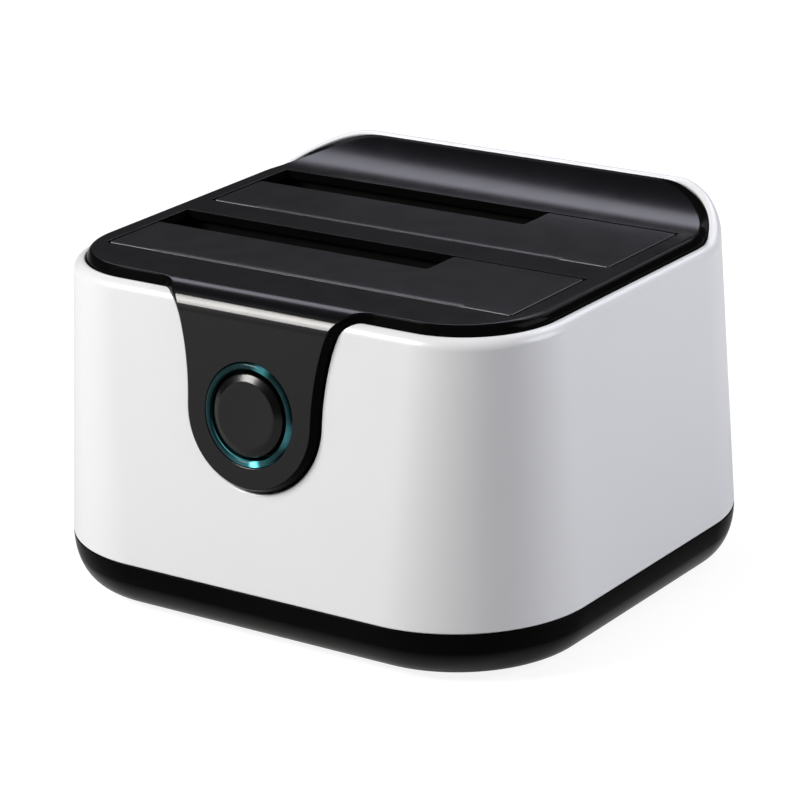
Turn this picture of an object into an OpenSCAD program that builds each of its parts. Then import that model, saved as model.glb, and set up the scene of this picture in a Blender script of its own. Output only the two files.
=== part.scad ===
// Twin-bay dock for bare hard drives.
// A white sleeve stands on a black base and carries a black deck with two flap doors and a power button.
// Millimetres: X runs along the front face, Y to the back, Z up from the table.

/* [Bays] */
// Width of each drive slot
slot_w = 104; // [102.6:0.2:110]
// Depth of each drive slot, front to back
slot_d = 28.6; // [28.2:0.1:32]
// Deck between the two slots
bar_d = 8.6; // [8.5:0.1:14]
// Width of the open corner that takes a small drive
notch_w = 71.3; // [70.2:0.1:76]
// Depth of that open corner
notch_d = 10.5; // [9.8:0.1:14]

/* [Outline] */
// Deck beside the slots, to the lip
side_margin = 5.5; // [5.4:0.1:9]
// Deck in front of the front slot, to the lip
front_margin = 13.2; // [13:0.1:18]
// Deck behind the rear slot, to the lip
rear_margin = 17.8; // [16:0.1:21]
// Corner radius at the inside of the lip
edge_r = 20; // [14:0.5:20]
// Corner radius at the lower edge of the sleeve
low_r = 30.6; // [24:0.2:36]
// Radius of the rounded lip
lip_r = 2.6; // [2:0.1:3.4]
// How far each side leans out towards the base
side_draft = 3.2; // [1:0.1:6]
// How far front and back lean out towards the base
front_draft = 6.3; // [3:0.1:9]
// Wall of the sleeve
shell_t = 2.4; // [1.8:0.1:3]

/* [Heights] */
// Height of the deck above the table
deck_z = 75; // [72:0.5:95]
// How far the deck stands above the lip
deck_proud = 2.1; // [1:0.1:4]
// Height of the seam between sleeve and base
seam_z = 11.8; // [10.5:0.1:14]
// Height of the feet below the base
foot_h = 1.9; // [1:0.1:3]
// How far the deck sweeps up behind the slots
deck_sweep = 5.6; // [3:0.1:8]
// How far the lip sweeps up at the back
lip_sweep = 8.3; // [6:0.1:10]
// Flat deck between the rear slot and the sweep
cove_gap = 0.4; // [0:0.1:1.5]

/* [Deck] */
// Thickness of the deck
deck_t = 2; // [1.6:0.1:2.4]
// How far the deck's edge slopes in
edge_in = 0.7; // [0.3:0.1:1.2]
// Gap between deck and lip
deck_gap = 0.25; // [0.1:0.05:0.5]
// Depth of the skirt under the deck's edge
skirt_h = 8; // [5:0.5:14]
// Wall of the skirt
skirt_t = 1.8; // [1.2:0.1:2.4]

/* [Front tongue] */
// Radius of the tongue's round end
tongue_r = 15.6; // [15:0.1:19]
// How much wider the tongue is at the deck, each side
tongue_flare = 4.8; // [1:0.1:7]
// Extra flare where the tongue leaves the deck
tongue_kick = 3; // [0:0.1:4]
// How far the tongue's edge slopes out towards the sleeve
tongue_edge = 1.05; // [0.4:0.05:1.4]
// How far the tongue stands proud of the sleeve
tongue_proud = 2; // [1:0.1:3]
// Thickness of the tongue
tongue_t = 4.2; // [3.6:0.1:4.6]
// Gap around the tongue in the sleeve
tongue_gap = 0.35; // [0.2:0.05:0.8]
// Radius where the deck rolls over into the tongue
nose_r = 6; // [3:0.5:9]
// Button centre below the deck
button_drop = 24.2; // [22:0.2:28]

/* [Power button] */
// Outer radius of the light ring
ring_r = 10.9; // [10.2:0.1:11.3]
// Width of the light ring
ring_w = 1.9; // [1.4:0.1:2.4]
// Depth of the light ring behind the tongue's face
ring_len = 5.6; // [5.4:0.1:6]
// Radius of the flat on the button
flat_r = 7; // [5:0.1:7.4]
// How far the button stands out
cap_proud = 0.9; // [0.2:0.1:1.6]
// Height of the button's bevel
cap_bevel = 1.7; // [0.6:0.1:2.6]
// Gap between button and ring
button_gap = 0.3; // [0.2:0.05:0.5]
// Travel of the button
travel = 0.8; // [0.3:0.1:0.9]

/* [Doors] */
// Thickness of a door
door_t = 2; // [1.6:0.1:2.4]
// Gap around a door
door_gap = 0.5; // [0.4:0.05:0.8]
// Radius of the hinge pin
pin_r = 0.8; // [0.6:0.05:0.9]
// Running clearance of a door on its pin
pin_fit = 0.06; // [0.02:0.01:0.1]
// Radius of a hinge barrel
barrel_r = 1.35; // [1.25:0.05:1.5]
// Hinge axis in front of the slot
hinge_back = 2; // [1.9:0.1:2.4]
// Half the length that the barrels span
barrel_x = 40; // [30:1:46]
// Length of a barrel
barrel_len = 12; // [6:1:14]
// Length of a hinge lug
lug_len = 3; // [2:0.5:4]
// Wire radius of a door spring
wire_r = 0.25; // [0.2:0.05:0.3]
// Turns of a door spring
turns = 6; // [3:1:8]
// Step of a door spring
spring_step = 1.2; // [1.1:0.1:1.6]

/* [Guides] */
// Wall of a bay guide
guide_t = 1.5; // [1.2:0.1:1.8]
// Room between the deck's skirt and a guide
guide_gap = 0.35; // [0.2:0.05:0.4]
// Reach of a door's stop tab under the deck
stop_w = 1.1; // [0.8:0.1:1.2]
// Free room between a hinge barrel and the guide
hinge_room = 0.35; // [0.3:0.05:0.4]
// Ears of the guides, from the middle
ear_x = 27; // [25:0.5:28]

/* [Base] */
// How far the base tucks in towards its bottom
base_tuck = 6; // [3:0.2:7]
// Thickness of the base floor
floor_t = 2.2; // [1.8:0.1:3]
// Wall of the base
base_t = 2.2; // [1.6:0.1:2.8]
// Height of the rim inside the sleeve
spigot_h = 2.5; // [1.5:0.1:4]
// Gap between rim and sleeve
spigot_gap = 0.55; // [0.4:0.05:0.7]
// Radius of a foot
foot_r = 6; // [4:0.5:8]

/* [Board] */
// Thickness of the main board
board_t = 1.6; // [1:0.1:2]
// Height of the board's stand-offs above the floor
standoff_h = 6.5; // [5.5:0.1:8]
// Height of a drive socket
sata_h = 11.5; // [9:0.5:13]
// Width of a drive socket
sata_w = 42; // [40:0.5:44]
// Depth of a drive socket
sata_d = 7; // [6:0.2:7.4]
// Middle of the drive socket from the slot's left end
sata_x = 31.3; // [30:0.1:34]

/* [Hidden] */
$fn = 48;

// Steps of the rounded outlines
corner_n = 16;
lip_n = 4;
tuck_n = 6;
cove_n = 14;
nose_n = 8;
side_n = 12;
far = 200;
cut = 1;

// Outline of the deck's edge and of the sleeve's foot
edge_hw = slot_w / 2 + side_margin;
slot_pitch = slot_d + bar_d;
edge_hd = (front_margin + slot_pitch + slot_d + rear_margin) / 2;
low_hw = edge_hw + lip_r + side_draft;
low_hd = edge_hd + lip_r + front_draft;
shoulder_z = deck_z - deck_proud - lip_r;
front_slot_y = front_margin - edge_hd;
rear_slot_y = front_slot_y + slot_pitch;
cove_y = rear_slot_y + slot_d + cove_gap;
sweep_run = edge_hd - cove_y;
under_z = deck_z - deck_t;
top_z = deck_z + 2 * deck_sweep;
bevel_least = 0.15;

// Slanted front face
draft_a = atan(front_draft / (shoulder_z - seam_z));
button_z = deck_z - button_drop;
tongue_over = 4;
tongue_top = button_drop + tongue_over;

// Button stack, measured inwards from the tongue's face
ring_flange = 1;
ring_bore = ring_r - ring_w;
ring_play = 0.15;
cap_r = ring_bore - button_gap;
cap_catch = 0.9;
cap_flange_r = ring_bore + cap_catch;
cap_flange_t = 1;
cap_play = 0.4;
cap_flange_z = ring_len + cap_play;
stem_r = 2.2;
stem_len = 0.4;
stem_z = cap_flange_z + cap_flange_t + stem_len;
touch_gap = 0.3;
plunger_r = 1.6;
plunger_fit = 0.06;
plunger_spare = 0.5;
plunger_out = travel + plunger_spare;
plunger_z = stem_z + touch_gap;
plunger_len = 2.4;
switch_z = plunger_z + plunger_out;
switch_h = 2.6;
switch_w = 6;
switch_floor = 0.5;
panel_z = switch_z + switch_h;
panel_t = 1;
panel_hw = 15;
panel_up = 7.6;
panel_down = 9;
panel_boss_r = 1.7;
panel_boss_gap = 1;
panel_boss_x = ring_r + ring_flange + panel_boss_gap;
panel_boss_y = 5.2;
panel_pilot_r = 0.8;
panel_hole_r = 1;
panel_head_r = 1.7;
panel_head_h = 0.7;
panel_screw_len = 5;
led_size = [2, 1.2, 0.8];
led_r = ring_r - ring_w / 2;
led_angles = [-125, -55, 35, 145];

// Hinge axis below the deck, so that a barrel clears the deck's underside
hinge_z = under_z - barrel_r - hinge_room;
lug_cover = 0.25;
lug_short = 0.1;
lug_front = barrel_r + lug_cover;
lug_back = barrel_r - lug_short;
lug_gap = 0.4;
lug_fit = 0.02;
pin_over = 0.6;
pin_end = barrel_x + lug_gap + lug_len + pin_over;
arm_reach = 5;
stop_t = 1.5;
stop_side = 6;
stop_gap = 0.3;
stop_root = 2;
coil_play = 0.15;
coil_r = pin_r + wire_r + coil_play;
spring_sides = 6;
spring_rings = 8;
long_leg = 9;
short_leg = 1.1;

// Guides
guide_front = hinge_back + barrel_r + hinge_room;
stop_room = 0.4;
guide_rear = stop_w + stop_room;
guide_out = -deck_gap - skirt_t - guide_gap;
guide_hw = edge_hw + guide_out - guide_t;
rib_gap = 0.4;
rib_from = 16;
rib_len = 3;
shelf_t = 1.5;
shelf_w = 9;
shelf_in = 3;
ear_t = 2.4;
ear_r = 2.6;
ear_drop = 4;
ear_reach = 2.8;
ear_hole_r = 1.4;
ear_pilot_r = 1.1;
ear_boss_r = 2.2;
ear_head_r = 2.1;
ear_head_h = 1.5;
ear_shaft_r = 1.05;
ear_shaft_up = 3.2;

// Posts that tie deck and base together
post_r = 3;
post_wall = 0.6;
post_gap = 0.1;
post_room = 0.4;
post_side = 12.5;
post_top = deck_z - skirt_h;
stud_len = 5;
boss_r = 4;
front_post_x = 36;
front_post = [front_post_x, edge_hd - post_r - post_wall];
rear_post = [edge_hw - post_side, rear_slot_y + slot_d + guide_rear + guide_t + boss_r + post_room];
posts = [[front_post[0], -front_post[1]], [-front_post[0], -front_post[1]],
    [rear_post[0], rear_post[1]], [-rear_post[0], rear_post[1]]];
base_hole_r = 1.7;
base_shaft_r = 1.4;
base_pilot_r = 1.45;
base_head_r = 2.8;
base_head_h = 1.8;
head_room = 0.4;
head_seat = 3;
base_screw_len = 16;

// Base
floor_z = foot_h + floor_t;
base_h = seam_z - foot_h;
pocket_step = 3.4;
foot_sink = 0.8;
foot_gap = 0.1;
foot_x = low_hw - base_tuck - 3 * foot_r;
foot_y = low_hd - base_tuck - 4 * foot_r;

// Main board
board_z = floor_z + standoff_h;
board_top = board_z + board_t;
board_clear = 1.2;
board_front = front_post[1] - boss_r - board_clear;
board_over = 1.6;
board_rear = edge_hd + board_over;
board_hw = rear_post[0] - boss_r - board_clear;
standoff_r = 3;
standoff_pilot_r = 1.1;
board_hole_r = 1.5;
board_shaft_r = 1.05;
board_head_r = 2.4;
board_head_h = 1.5;
board_screw_len = 6;
hole_in = 4.5;
board_holes = [[board_hw - hole_in, hole_in - board_front], [hole_in - board_hw, hole_in - board_front],
    [board_hw - hole_in, rear_post[1] - boss_r], [hole_in - board_hw, rear_post[1] - boss_r]];
boss_top = board_top;
guide_z = board_top + sata_h - shelf_t;

// Drive sockets
sata_mid_x = sata_x - slot_w / 2;
sata_back = 4.1;
sata_slot_d = 1.9;
sata_slot_depth = 6.5;
power_key_w = 21.6;
data_key_w = 11.2;
key_gap = 2.4;
key_tail = 1.6;
post_block = 3;
post_rise = 1.6;
contact_pitch = 1.27;
contact_w = 0.6;
contact_t = 0.35;
power_pins = 15;
data_pins = 7;

// Rear sockets
port_in = 1.2;
port_y = low_hd - port_in;
port_gap = 0.35;
usb_x = -15;
usb_w = 12;
usb_h = 11.2;
usb_len = 17;
usb_t = 0.5;
usb_bevel = 1.8;
usb_back = 3;
usb_tongue = [5.6, 12, 3];
usb_tongue_z = 3.2;
jack_x = 14;
jack_w = 9;
jack_h = 11;
jack_len = 14;
jack_r = 3.2;
jack_depth = 9.5;
jack_mid = 6.2;
jack_pin_r = 1;
jack_pin_len = 8;

// Small parts on the board
chip = [10, 10, 1.2];
chip_x = 12;
chip_in = 15.6;
chip_at = [chip_x, chip_in - board_front];
coil = [7, 7, 4];
coil_in = [11.8, 9];
coil_at = [board_hw - coil_in[0], board_rear - coil_in[1]];
cap_side = 13;
cap_in = [11, 4, 8];
cap_at = [[usb_x - cap_side, board_rear - cap_in[0]], [usb_x - cap_side, board_rear - cap_in[1]],
    [(usb_x + jack_x) / 2, board_rear - cap_in[2]]];
can_r = 3.1;
can_h = 8;
xtal = [11, 4.6, 3.6];
xtal_in = 9.8;
xtal_at = [board_hw - xtal_in, chip_at[1]];
ribbon_w = 8;
ribbon_t = 0.6;
ribbon_front = 2.6;

// Points of a rounded rectangle, counter-clockwise
function corner(cx, cy, r, from) =
    [for (i = [0:corner_n]) let (a = from + 90 * i / corner_n) [cx + r * cos(a), cy + r * sin(a)]];
function ring(hw, hd, r) =
    concat(corner(hw - r, hd - r, r, 0), corner(r - hw, hd - r, r, 90),
        corner(r - hw, r - hd, r, 180), corner(hw - r, r - hd, r, 270));
function edge_ring(grow) = ring(edge_hw + grow, edge_hd + grow, edge_r + grow);
function low_ring(grow) = ring(low_hw + grow, low_hd + grow, low_r + grow);

// Height gained at depth y by a sweep that ends this high at the back
function rise(y, high) =
    let (run = min(max(y - cove_y, 0), sweep_run), r = (sweep_run * sweep_run + high * high) / (2 * high))
    r - sqrt(r * r - run * run);
function deck_at(y) = deck_z + rise(y, deck_sweep);
edge_rise = [for (p = edge_ring(0)) rise(p[1], lip_sweep)];
function level(points, z) = [for (p = points) [p[0], p[1], z]];
function lifted(points, z) =
    [for (i = [0:len(points) - 1]) [points[i][0], points[i][1], z + edge_rise[i]]];

// Front wall of the sleeve and face of the tongue at height z
function wall_y(z) = (z - seam_z) * tan(draft_a) - low_hd;
function face_y(z) = wall_y(z) - tongue_proud / cos(draft_a);

// Sides of the skin between rings of points
function quads(m, n, loop) =
    [for (k = [0:m - (loop ? 1 : 2)], i = [0:n - 1], t = [0, 1])
        let (j = (i + 1) % n, row = k * n, next = (k + 1) % m * n)
        let (a = row + i, b = row + j, c = next + i, d = next + j)
        t == 0 ? [a, c, d] : [a, d, b]];

// Skin over rings, joined end to end as a sleeve
module sleeve(rings) {
    polyhedron([for (r = rings, p = r) p], quads(len(rings), len(rings[0]), true));
}

// Skin over rings, closed by flat caps
module loft(rings) {
    n = len(rings[0]);
    last = n * (len(rings) - 1);
    caps = [[for (i = [0:n - 1]) i], [for (i = [n - 1:-1:0]) last + i]];
    polyhedron([for (r = rings, p = r) p], concat(quads(len(rings), n, false), caps));
}

// Extrudes a YZ outline along X
module along_x(length) {
    rotate([90, 0, 90]) linear_extrude(length, center = true) children();
}

// Upright prism of an outline
module prism(points, z0, z1) {
    translate([0, 0, z0]) linear_extrude(z1 - z0) polygon(points);
}

// Everything below the deck's surface, lowered by drop
module below_deck(drop) {
    arc = [for (i = [0:cove_n]) let (y = edge_hd - sweep_run * i / cove_n) [y, deck_at(y) - drop]];
    along_x(2 * far) polygon(concat([[-far, -far], [edge_hd, -far]], arc, [[-far, deck_z - drop]]));
}

// Places children on the tongue's face, outward along their Z
module on_face() {
    translate([0, face_y(button_z), button_z]) rotate([90 - draft_a, 0, 0]) children();
}

// Outline of the tongue in its own plane
function tongue_half(h) =
    tongue_r + tongue_flare * pow(h / button_drop, 2) + tongue_kick * pow(h / button_drop, 10);
function tongue_points(grow) =
    let (side = [for (i = [0:side_n]) let (h = tongue_top * i / side_n) [tongue_half(h) + grow, h]])
    concat([for (i = [1:2 * corner_n - 1]) let (a = 180 + 90 * i / corner_n)
            [(tongue_r + grow) * cos(a), (tongue_r + grow) * sin(a)]],
        side, [for (i = [side_n:-1:0]) [-side[i][0], side[i][1]]]);

module outer_shell() {
    lip = [for (k = [0:lip_n]) let (a = 90 * k / lip_n, d = lip_r * cos(a))
        lifted(edge_ring(d), shoulder_z + lip_r * sin(a))];
    color([0.94, 0.94, 0.94]) difference() {
        sleeve(concat([level(low_ring(0), seam_z)], lip, [level(low_ring(-shell_t), seam_z)]));
        on_face() translate([0, 0, -tongue_t - shell_t]) linear_extrude(far)
            polygon(tongue_points(tongue_edge + tongue_gap));
        port_hole(usb_x, usb_w, usb_h, seam_z - cut);
        port_hole(jack_x, jack_w, jack_h, seam_z - cut);
    }
}

// Opening for a socket in the back wall, from this low upwards
module port_hole(x, w, h, low) {
    translate([x - w / 2 - port_gap, low_hd - 4 * shell_t, low])
        cube([w + 2 * port_gap, 5 * shell_t, board_top + h + port_gap - low]);
}

// Side view of the tongue: deck, rolled nose, slanted face and back
module tongue_side() {
    tip = face_y(deck_z) + nose_r / tan((90 + draft_a) / 2);
    foot_z = button_z - 2 * tongue_r;
    inner = tongue_t / cos(draft_a);
    nose = [for (i = [0:nose_n]) let (a = 90 + (90 - draft_a) * i / nose_n)
        [tip + nose_r * cos(a), deck_z - nose_r + nose_r * sin(a)]];
    join = deck_gap + skirt_t + cut - edge_hd;
    along_x(2 * far) polygon(concat([[join, deck_z]], nose, [[face_y(foot_z), foot_z],
        [face_y(foot_z) + inner, foot_z], [face_y(under_z) + inner, under_z], [join, under_z]]));
}

// Tongue before its side view is cut, with its edges sloping out towards the sleeve
module tongue_block() {
    rows = [[-far / 4, tongue_edge], [-tongue_proud, tongue_edge], [tongue_proud, -tongue_edge]];
    loft([for (r = rows) level(tongue_points(r[1]), r[0])]);
}

// Sleeve that cuts the deck's edge to a slope down to the lip
module edge_bevel() {
    outer = edge_ring(-deck_gap);
    inner = edge_ring(-deck_gap - edge_in);
    away = edge_ring(lip_r);
    steps = [0:len(outer) - 1];
    share = [for (i = steps) let (proud = deck_at(outer[i][1]) - deck_z + deck_proud - edge_rise[i])
        min(max(proud / deck_proud, bevel_least), 1)];
    crest = [for (i = steps) let (p = outer[i] + share[i] * (inner[i] - outer[i]))
        [p[0], p[1], deck_at(p[1])]];
    foot = [for (i = steps) [outer[i][0], outer[i][1], crest[i][2] - share[i] * deck_proud]];
    low = [for (i = steps) foot[i] + (foot[i] - crest[i]) / 2];
    high = [for (i = steps) crest[i] + (crest[i] - foot[i]) / 2];
    sleeve([low, [for (i = steps) [away[i][0], away[i][1], high[i][2]]], high]);
}

module deck_block() {
    difference() {
        intersection() {
            prism(edge_ring(-deck_gap), deck_z - skirt_h, top_z);
            below_deck(0);
        }
        edge_bevel();
        intersection() {
            prism(edge_ring(-deck_gap - skirt_t), deck_z - skirt_h - cut, top_z);
            below_deck(deck_t);
        }
    }
}

// Ears that carry one hinge pin under the deck
module hinge_lugs(y0) {
    reach = lug_gap + lug_len / 2;
    for (side = [-1, 1], x = [barrel_x + reach, barrel_x - barrel_len - reach])
        translate([side * x - lug_len / 2, y0 - hinge_back - lug_front, hinge_z - lug_front])
            cube([lug_len, lug_front + lug_back, under_z - hinge_z + lug_front + deck_t / 2]);
}

// Places children where the guides' ears are screwed up to the deck
module at_ears() {
    for (side = [-1, 1]) {
        translate([side * ear_x, front_slot_y - guide_front - guide_t - ear_reach, 0]) children();
        translate([side * ear_x, rear_slot_y + slot_d + guide_rear + guide_t + ear_reach, 0]) children();
    }
}

module top_cover() {
    ear_z = under_z - ear_drop;
    color([0.13, 0.13, 0.15]) difference() {
        union() {
            deck_block();
            intersection() {
                on_face() tongue_block();
                tongue_side();
            }
            hinge_lugs(front_slot_y);
            hinge_lugs(rear_slot_y);
            for (p = posts)
                translate([p[0], p[1], post_top]) cylinder(r = post_r, h = deck_z - post_top - cut);
            at_ears() translate([0, 0, ear_z]) cylinder(r = ear_boss_r, h = deck_z - ear_z - cut);
            for (side = [-1, 1])
                on_face() translate([side * panel_boss_x, panel_boss_y, -panel_z])
                    cylinder(r = panel_boss_r, h = panel_z - tongue_t + cut);
        }
        for (y = [front_slot_y, rear_slot_y]) {
            translate([-slot_w / 2, y, under_z - cut]) cube([slot_w, slot_d, deck_t + 2 * cut]);
            translate([0, y - hinge_back, hinge_z]) rotate([0, 90, 0])
                cylinder(r = pin_r + lug_fit, h = 2 * (pin_end + cut), center = true);
        }
        on_face() translate([0, 0, -2 * tongue_t]) cylinder(r = ring_r + ring_play, h = 4 * tongue_t);
        for (p = posts)
            translate([p[0], p[1], post_top - cut]) cylinder(r = base_pilot_r, h = stud_len + 1.5 * cut);
        at_ears() translate([0, 0, ear_z - cut]) cylinder(r = ear_pilot_r, h = ear_shaft_up + 2 * cut);
        for (side = [-1, 1])
            on_face() translate([side * panel_boss_x, panel_boss_y, -panel_z - cut])
                cylinder(r = panel_pilot_r, h = panel_screw_len + cut);
    }
}

// Base outline at angle a of its tuck: 0 at the seam, 90 at the bottom
function tuck_ring(a) = level(low_ring(-base_tuck * (1 - cos(a))), seam_z - base_h * sin(a));

module at_feet() {
    for (x = [-1, 1], y = [-1, 1])
        translate([x * foot_x, y * foot_y, 0]) children();
}

module base_cover() {
    rim = -shell_t - spigot_gap;
    skin = [for (k = [tuck_n:-1:0]) tuck_ring(90 * k / tuck_n)];
    color([0.05, 0.05, 0.05]) difference() {
        union() {
            difference() {
                loft(concat(skin, [for (up = [0, spigot_h]) level(low_ring(rim), seam_z + up)]));
                prism(low_ring(-base_tuck - base_t), floor_z, seam_z + far);
                prism(low_ring(rim - base_t), floor_z + pocket_step, seam_z + far);
            }
            for (p = posts)
                translate([p[0], p[1], floor_z - cut]) cylinder(r = boss_r, h = boss_top - floor_z + cut);
            for (p = board_holes)
                translate([p[0], p[1], floor_z - cut]) cylinder(r = standoff_r, h = standoff_h + cut);
        }
        for (p = posts) {
            translate([p[0], p[1], 0]) cylinder(r = base_hole_r, h = boss_top + cut);
            translate([p[0], p[1], 0]) cylinder(r = base_head_r + head_room, h = foot_h + head_seat);
        }
        for (p = board_holes)
            translate([p[0], p[1], floor_z]) cylinder(r = standoff_pilot_r, h = standoff_h + cut);
        at_feet() cylinder(r = foot_r + foot_gap, h = foot_h + foot_sink);
        port_hole(usb_x, usb_w, usb_h, board_top - port_gap);
        port_hole(jack_x, jack_w, jack_h, board_top - port_gap);
    }
}

// Spacers between base and deck: a screw enters from below, a stud plugs into the deck
module tie_posts() {
    low = boss_top + post_gap;
    high = post_top - post_gap;
    color([0.09, 0.09, 0.1])
        for (p = posts)
            translate([p[0], p[1], 0]) difference() {
                union() {
                    translate([0, 0, low]) cylinder(r = post_r, h = high - low);
                    translate([0, 0, high - cut]) cylinder(r = base_shaft_r, h = stud_len + cut);
                }
                translate([0, 0, low - cut]) cylinder(r = base_pilot_r, h = base_screw_len);
            }
}

// Well around one bay; ear_dir says which side its ears are on
module bay_guide(y0, ear_dir) {
    front = y0 - guide_front;
    rear = y0 + slot_d + guide_rear;
    ear_y = ear_dir < 0 ? front - guide_t : rear + guide_t;
    ear_z = under_z - ear_drop - ear_t;
    ear_tip = ear_y + ear_dir * ear_reach;
    rib_x = slot_w / 2 + rib_gap;
    rib_w = guide_hw + guide_t / 2 - rib_x;
    color([0.09, 0.09, 0.1]) difference() {
        union() {
            difference() {
                intersection() {
                    prism(edge_ring(guide_out), guide_z, under_z);
                    translate([-far, front - guide_t, 0])
                        cube([2 * far, rear - front + 2 * guide_t, far]);
                }
                intersection() {
                    prism(edge_ring(guide_out - guide_t), guide_z - cut, under_z + cut);
                    translate([-far, front, 0]) cube([2 * far, rear - front, far]);
                }
            }
            for (side = [-1, 1]) {
                translate([side * (rib_x + rib_w / 2) - rib_w / 2, y0 + rib_from, guide_z])
                    cube([rib_w, rib_len, under_z - guide_z]);
                translate([side * ear_x - ear_r, min(ear_y, ear_tip) - cut / 2, ear_z])
                    cube([2 * ear_r, ear_reach + cut, ear_t]);
                translate([side * ear_x, ear_tip, ear_z]) cylinder(r = ear_r, h = ear_t);
            }
            translate([guide_hw - shelf_w, y0 + shelf_in, guide_z])
                cube([shelf_w + guide_t / 2, rear + guide_t / 2 - y0 - shelf_in, shelf_t]);
        }
        for (side = [-1, 1])
            translate([side * ear_x, ear_tip, ear_z - cut]) cylinder(r = ear_hole_r, h = ear_t + 2 * cut);
    }
}

module front_bay_guide() {
    bay_guide(front_slot_y, -1);
}

module rear_bay_guide() {
    bay_guide(rear_slot_y, 1);
}

// Flap door of one slot, hinged in front of it under the deck
module door(y0) {
    left = door_gap - slot_w / 2;
    right = slot_w / 2 - door_gap;
    front = y0 + door_gap;
    rear = y0 + slot_d - door_gap;
    hinge_y = y0 - hinge_back;
    plate_z = deck_z - door_t;
    stop_z = under_z - stop_gap - stop_t;
    stop_x = notch_w - slot_w / 2 + stop_side;
    stop_len = right - stop_side - stop_x;
    color([0.14, 0.14, 0.16]) difference() {
        union() {
            translate([0, 0, plate_z]) linear_extrude(door_t)
                polygon([[left, front], [right, front], [right, rear], [notch_w - slot_w / 2, rear],
                    [notch_w - slot_w / 2, y0 + slot_d - notch_d], [left, y0 + slot_d - notch_d]]);
            for (side = [-1, 1]) {
                translate([side * (barrel_x - barrel_len / 2), 0, 0]) {
                    translate([0, hinge_y, hinge_z]) rotate([0, 90, 0])
                        cylinder(r = barrel_r, h = barrel_len, center = true);
                    along_x(barrel_len) polygon([[hinge_y, hinge_z - barrel_r], [y0 + arm_reach, plate_z],
                        [y0 + arm_reach, plate_z + door_t / 2], [front, plate_z + door_t / 2],
                        [front, hinge_z + barrel_r * 0.8], [hinge_y, hinge_z + barrel_r * 0.8]]);
                }
            }
            translate([stop_x, rear - stop_root, stop_z]) {
                cube([stop_len, stop_root, plate_z + cut - stop_z]);
                cube([stop_len, stop_root + door_gap + stop_w, stop_t]);
            }
        }
        translate([0, hinge_y, hinge_z]) rotate([0, 90, 0])
            cylinder(r = pin_r + pin_fit, h = slot_w, center = true);
    }
}

module front_door() {
    door(front_slot_y);
}

module rear_door() {
    door(rear_slot_y);
}

module hinge_pin(y0) {
    color([0.72, 0.72, 0.74]) translate([0, y0 - hinge_back, hinge_z]) rotate([0, 90, 0])
        cylinder(r = pin_r, h = 2 * pin_end, center = true);
}

module front_hinge_pin() {
    hinge_pin(front_slot_y);
}

module rear_hinge_pin() {
    hinge_pin(rear_slot_y);
}

// Path of a door spring round its pin: short leg at the guide, turns, long leg under the door
spring_n = turns * spring_rings + spring_rings / 2;
spring_end = spring_step * (turns + 1) / 2;
spring_path = concat([[-spring_step * turns / 2, -short_leg, -coil_r]],
    [for (i = [0:spring_n]) let (a = -90 - 360 * i / spring_rings)
        [spring_step * (i / spring_rings - turns / 2), coil_r * cos(a), coil_r * sin(a)]],
    [for (share = [0.5, 1]) [spring_end, share * long_leg, coil_r]]);

function unit(v) = v / norm(v);
function tube_ring(path, i, r) =
    let (d = unit(path[min(i + 1, len(path) - 1)] - path[max(i - 1, 0)]))
    let (u = unit(cross(d, [1, 0, 0])), w = cross(d, u))
    [for (k = [0:spring_sides - 1]) let (a = 360 * k / spring_sides)
        path[i] + r * (u * cos(a) + w * sin(a))];

// Least gap between one turn and the next, on the spring's own points
function least_gap(path) =
    let (last = len(path) - 1)
    min([for (i = [0:last], j = [i + spring_rings - 1:1:last]) norm(path[i] - path[j])]) - 2 * wire_r;
echo(spring_gap = least_gap(spring_path));

module door_spring(y0) {
    color([0.75, 0.75, 0.78]) translate([0, y0 - hinge_back, hinge_z])
        loft([for (i = [0:len(spring_path) - 1]) tube_ring(spring_path, i, wire_r)]);
}

module front_door_spring() {
    door_spring(front_slot_y);
}

module rear_door_spring() {
    door_spring(rear_slot_y);
}

module light_ring() {
    flange_z = -tongue_t - ring_play;
    edge = ring_w / 4;
    flange_r = ring_r + ring_flange;
    color([0.1, 0.5, 0.55, 0.8]) on_face() rotate_extrude()
        polygon([[ring_bore, -ring_len], [flange_r, -ring_len], [flange_r, flange_z], [ring_r, flange_z],
            [ring_r, 0], [ring_r - edge, edge], [ring_bore + edge, edge], [ring_bore, 0]]);
}

module power_button() {
    flange_end = cap_flange_z + cap_flange_t;
    color([0.1, 0.1, 0.1]) on_face() rotate_extrude()
        polygon([[0, cap_proud], [0, -stem_z], [stem_r, -stem_z], [stem_r, -flange_end],
            [cap_flange_r, -flange_end], [cap_flange_r, -cap_flange_z], [cap_r, -cap_flange_z],
            [cap_r, cap_proud - cap_bevel], [flat_r, cap_proud]]);
}

module switch_plunger() {
    color([0.55, 0.1, 0.1]) on_face() translate([0, 0, -plunger_z - plunger_len])
        cylinder(r = plunger_r, h = plunger_len);
}

module switch_body() {
    color([0.2, 0.2, 0.2]) on_face() difference() {
        translate([-switch_w / 2, -switch_w / 2, -panel_z]) cube([switch_w, switch_w, switch_h]);
        translate([0, 0, switch_floor - panel_z]) cylinder(r = plunger_r + plunger_fit, h = switch_h);
    }
}

module button_board() {
    color([0.05, 0.3, 0.15]) on_face() difference() {
        translate([-panel_hw, -panel_down, -panel_z - panel_t])
            cube([2 * panel_hw, panel_up + panel_down, panel_t]);
        for (side = [-1, 1])
            translate([side * panel_boss_x, panel_boss_y, -panel_z - panel_t - cut])
                cylinder(r = panel_hole_r, h = panel_t + 2 * cut);
    }
}

module ring_leds() {
    color([0.8, 0.95, 0.95]) on_face()
        for (a = led_angles)
            translate([led_r * cos(a), led_r * sin(a), led_size[2] / 2 - panel_z])
                cube(led_size, center = true);
}

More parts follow.
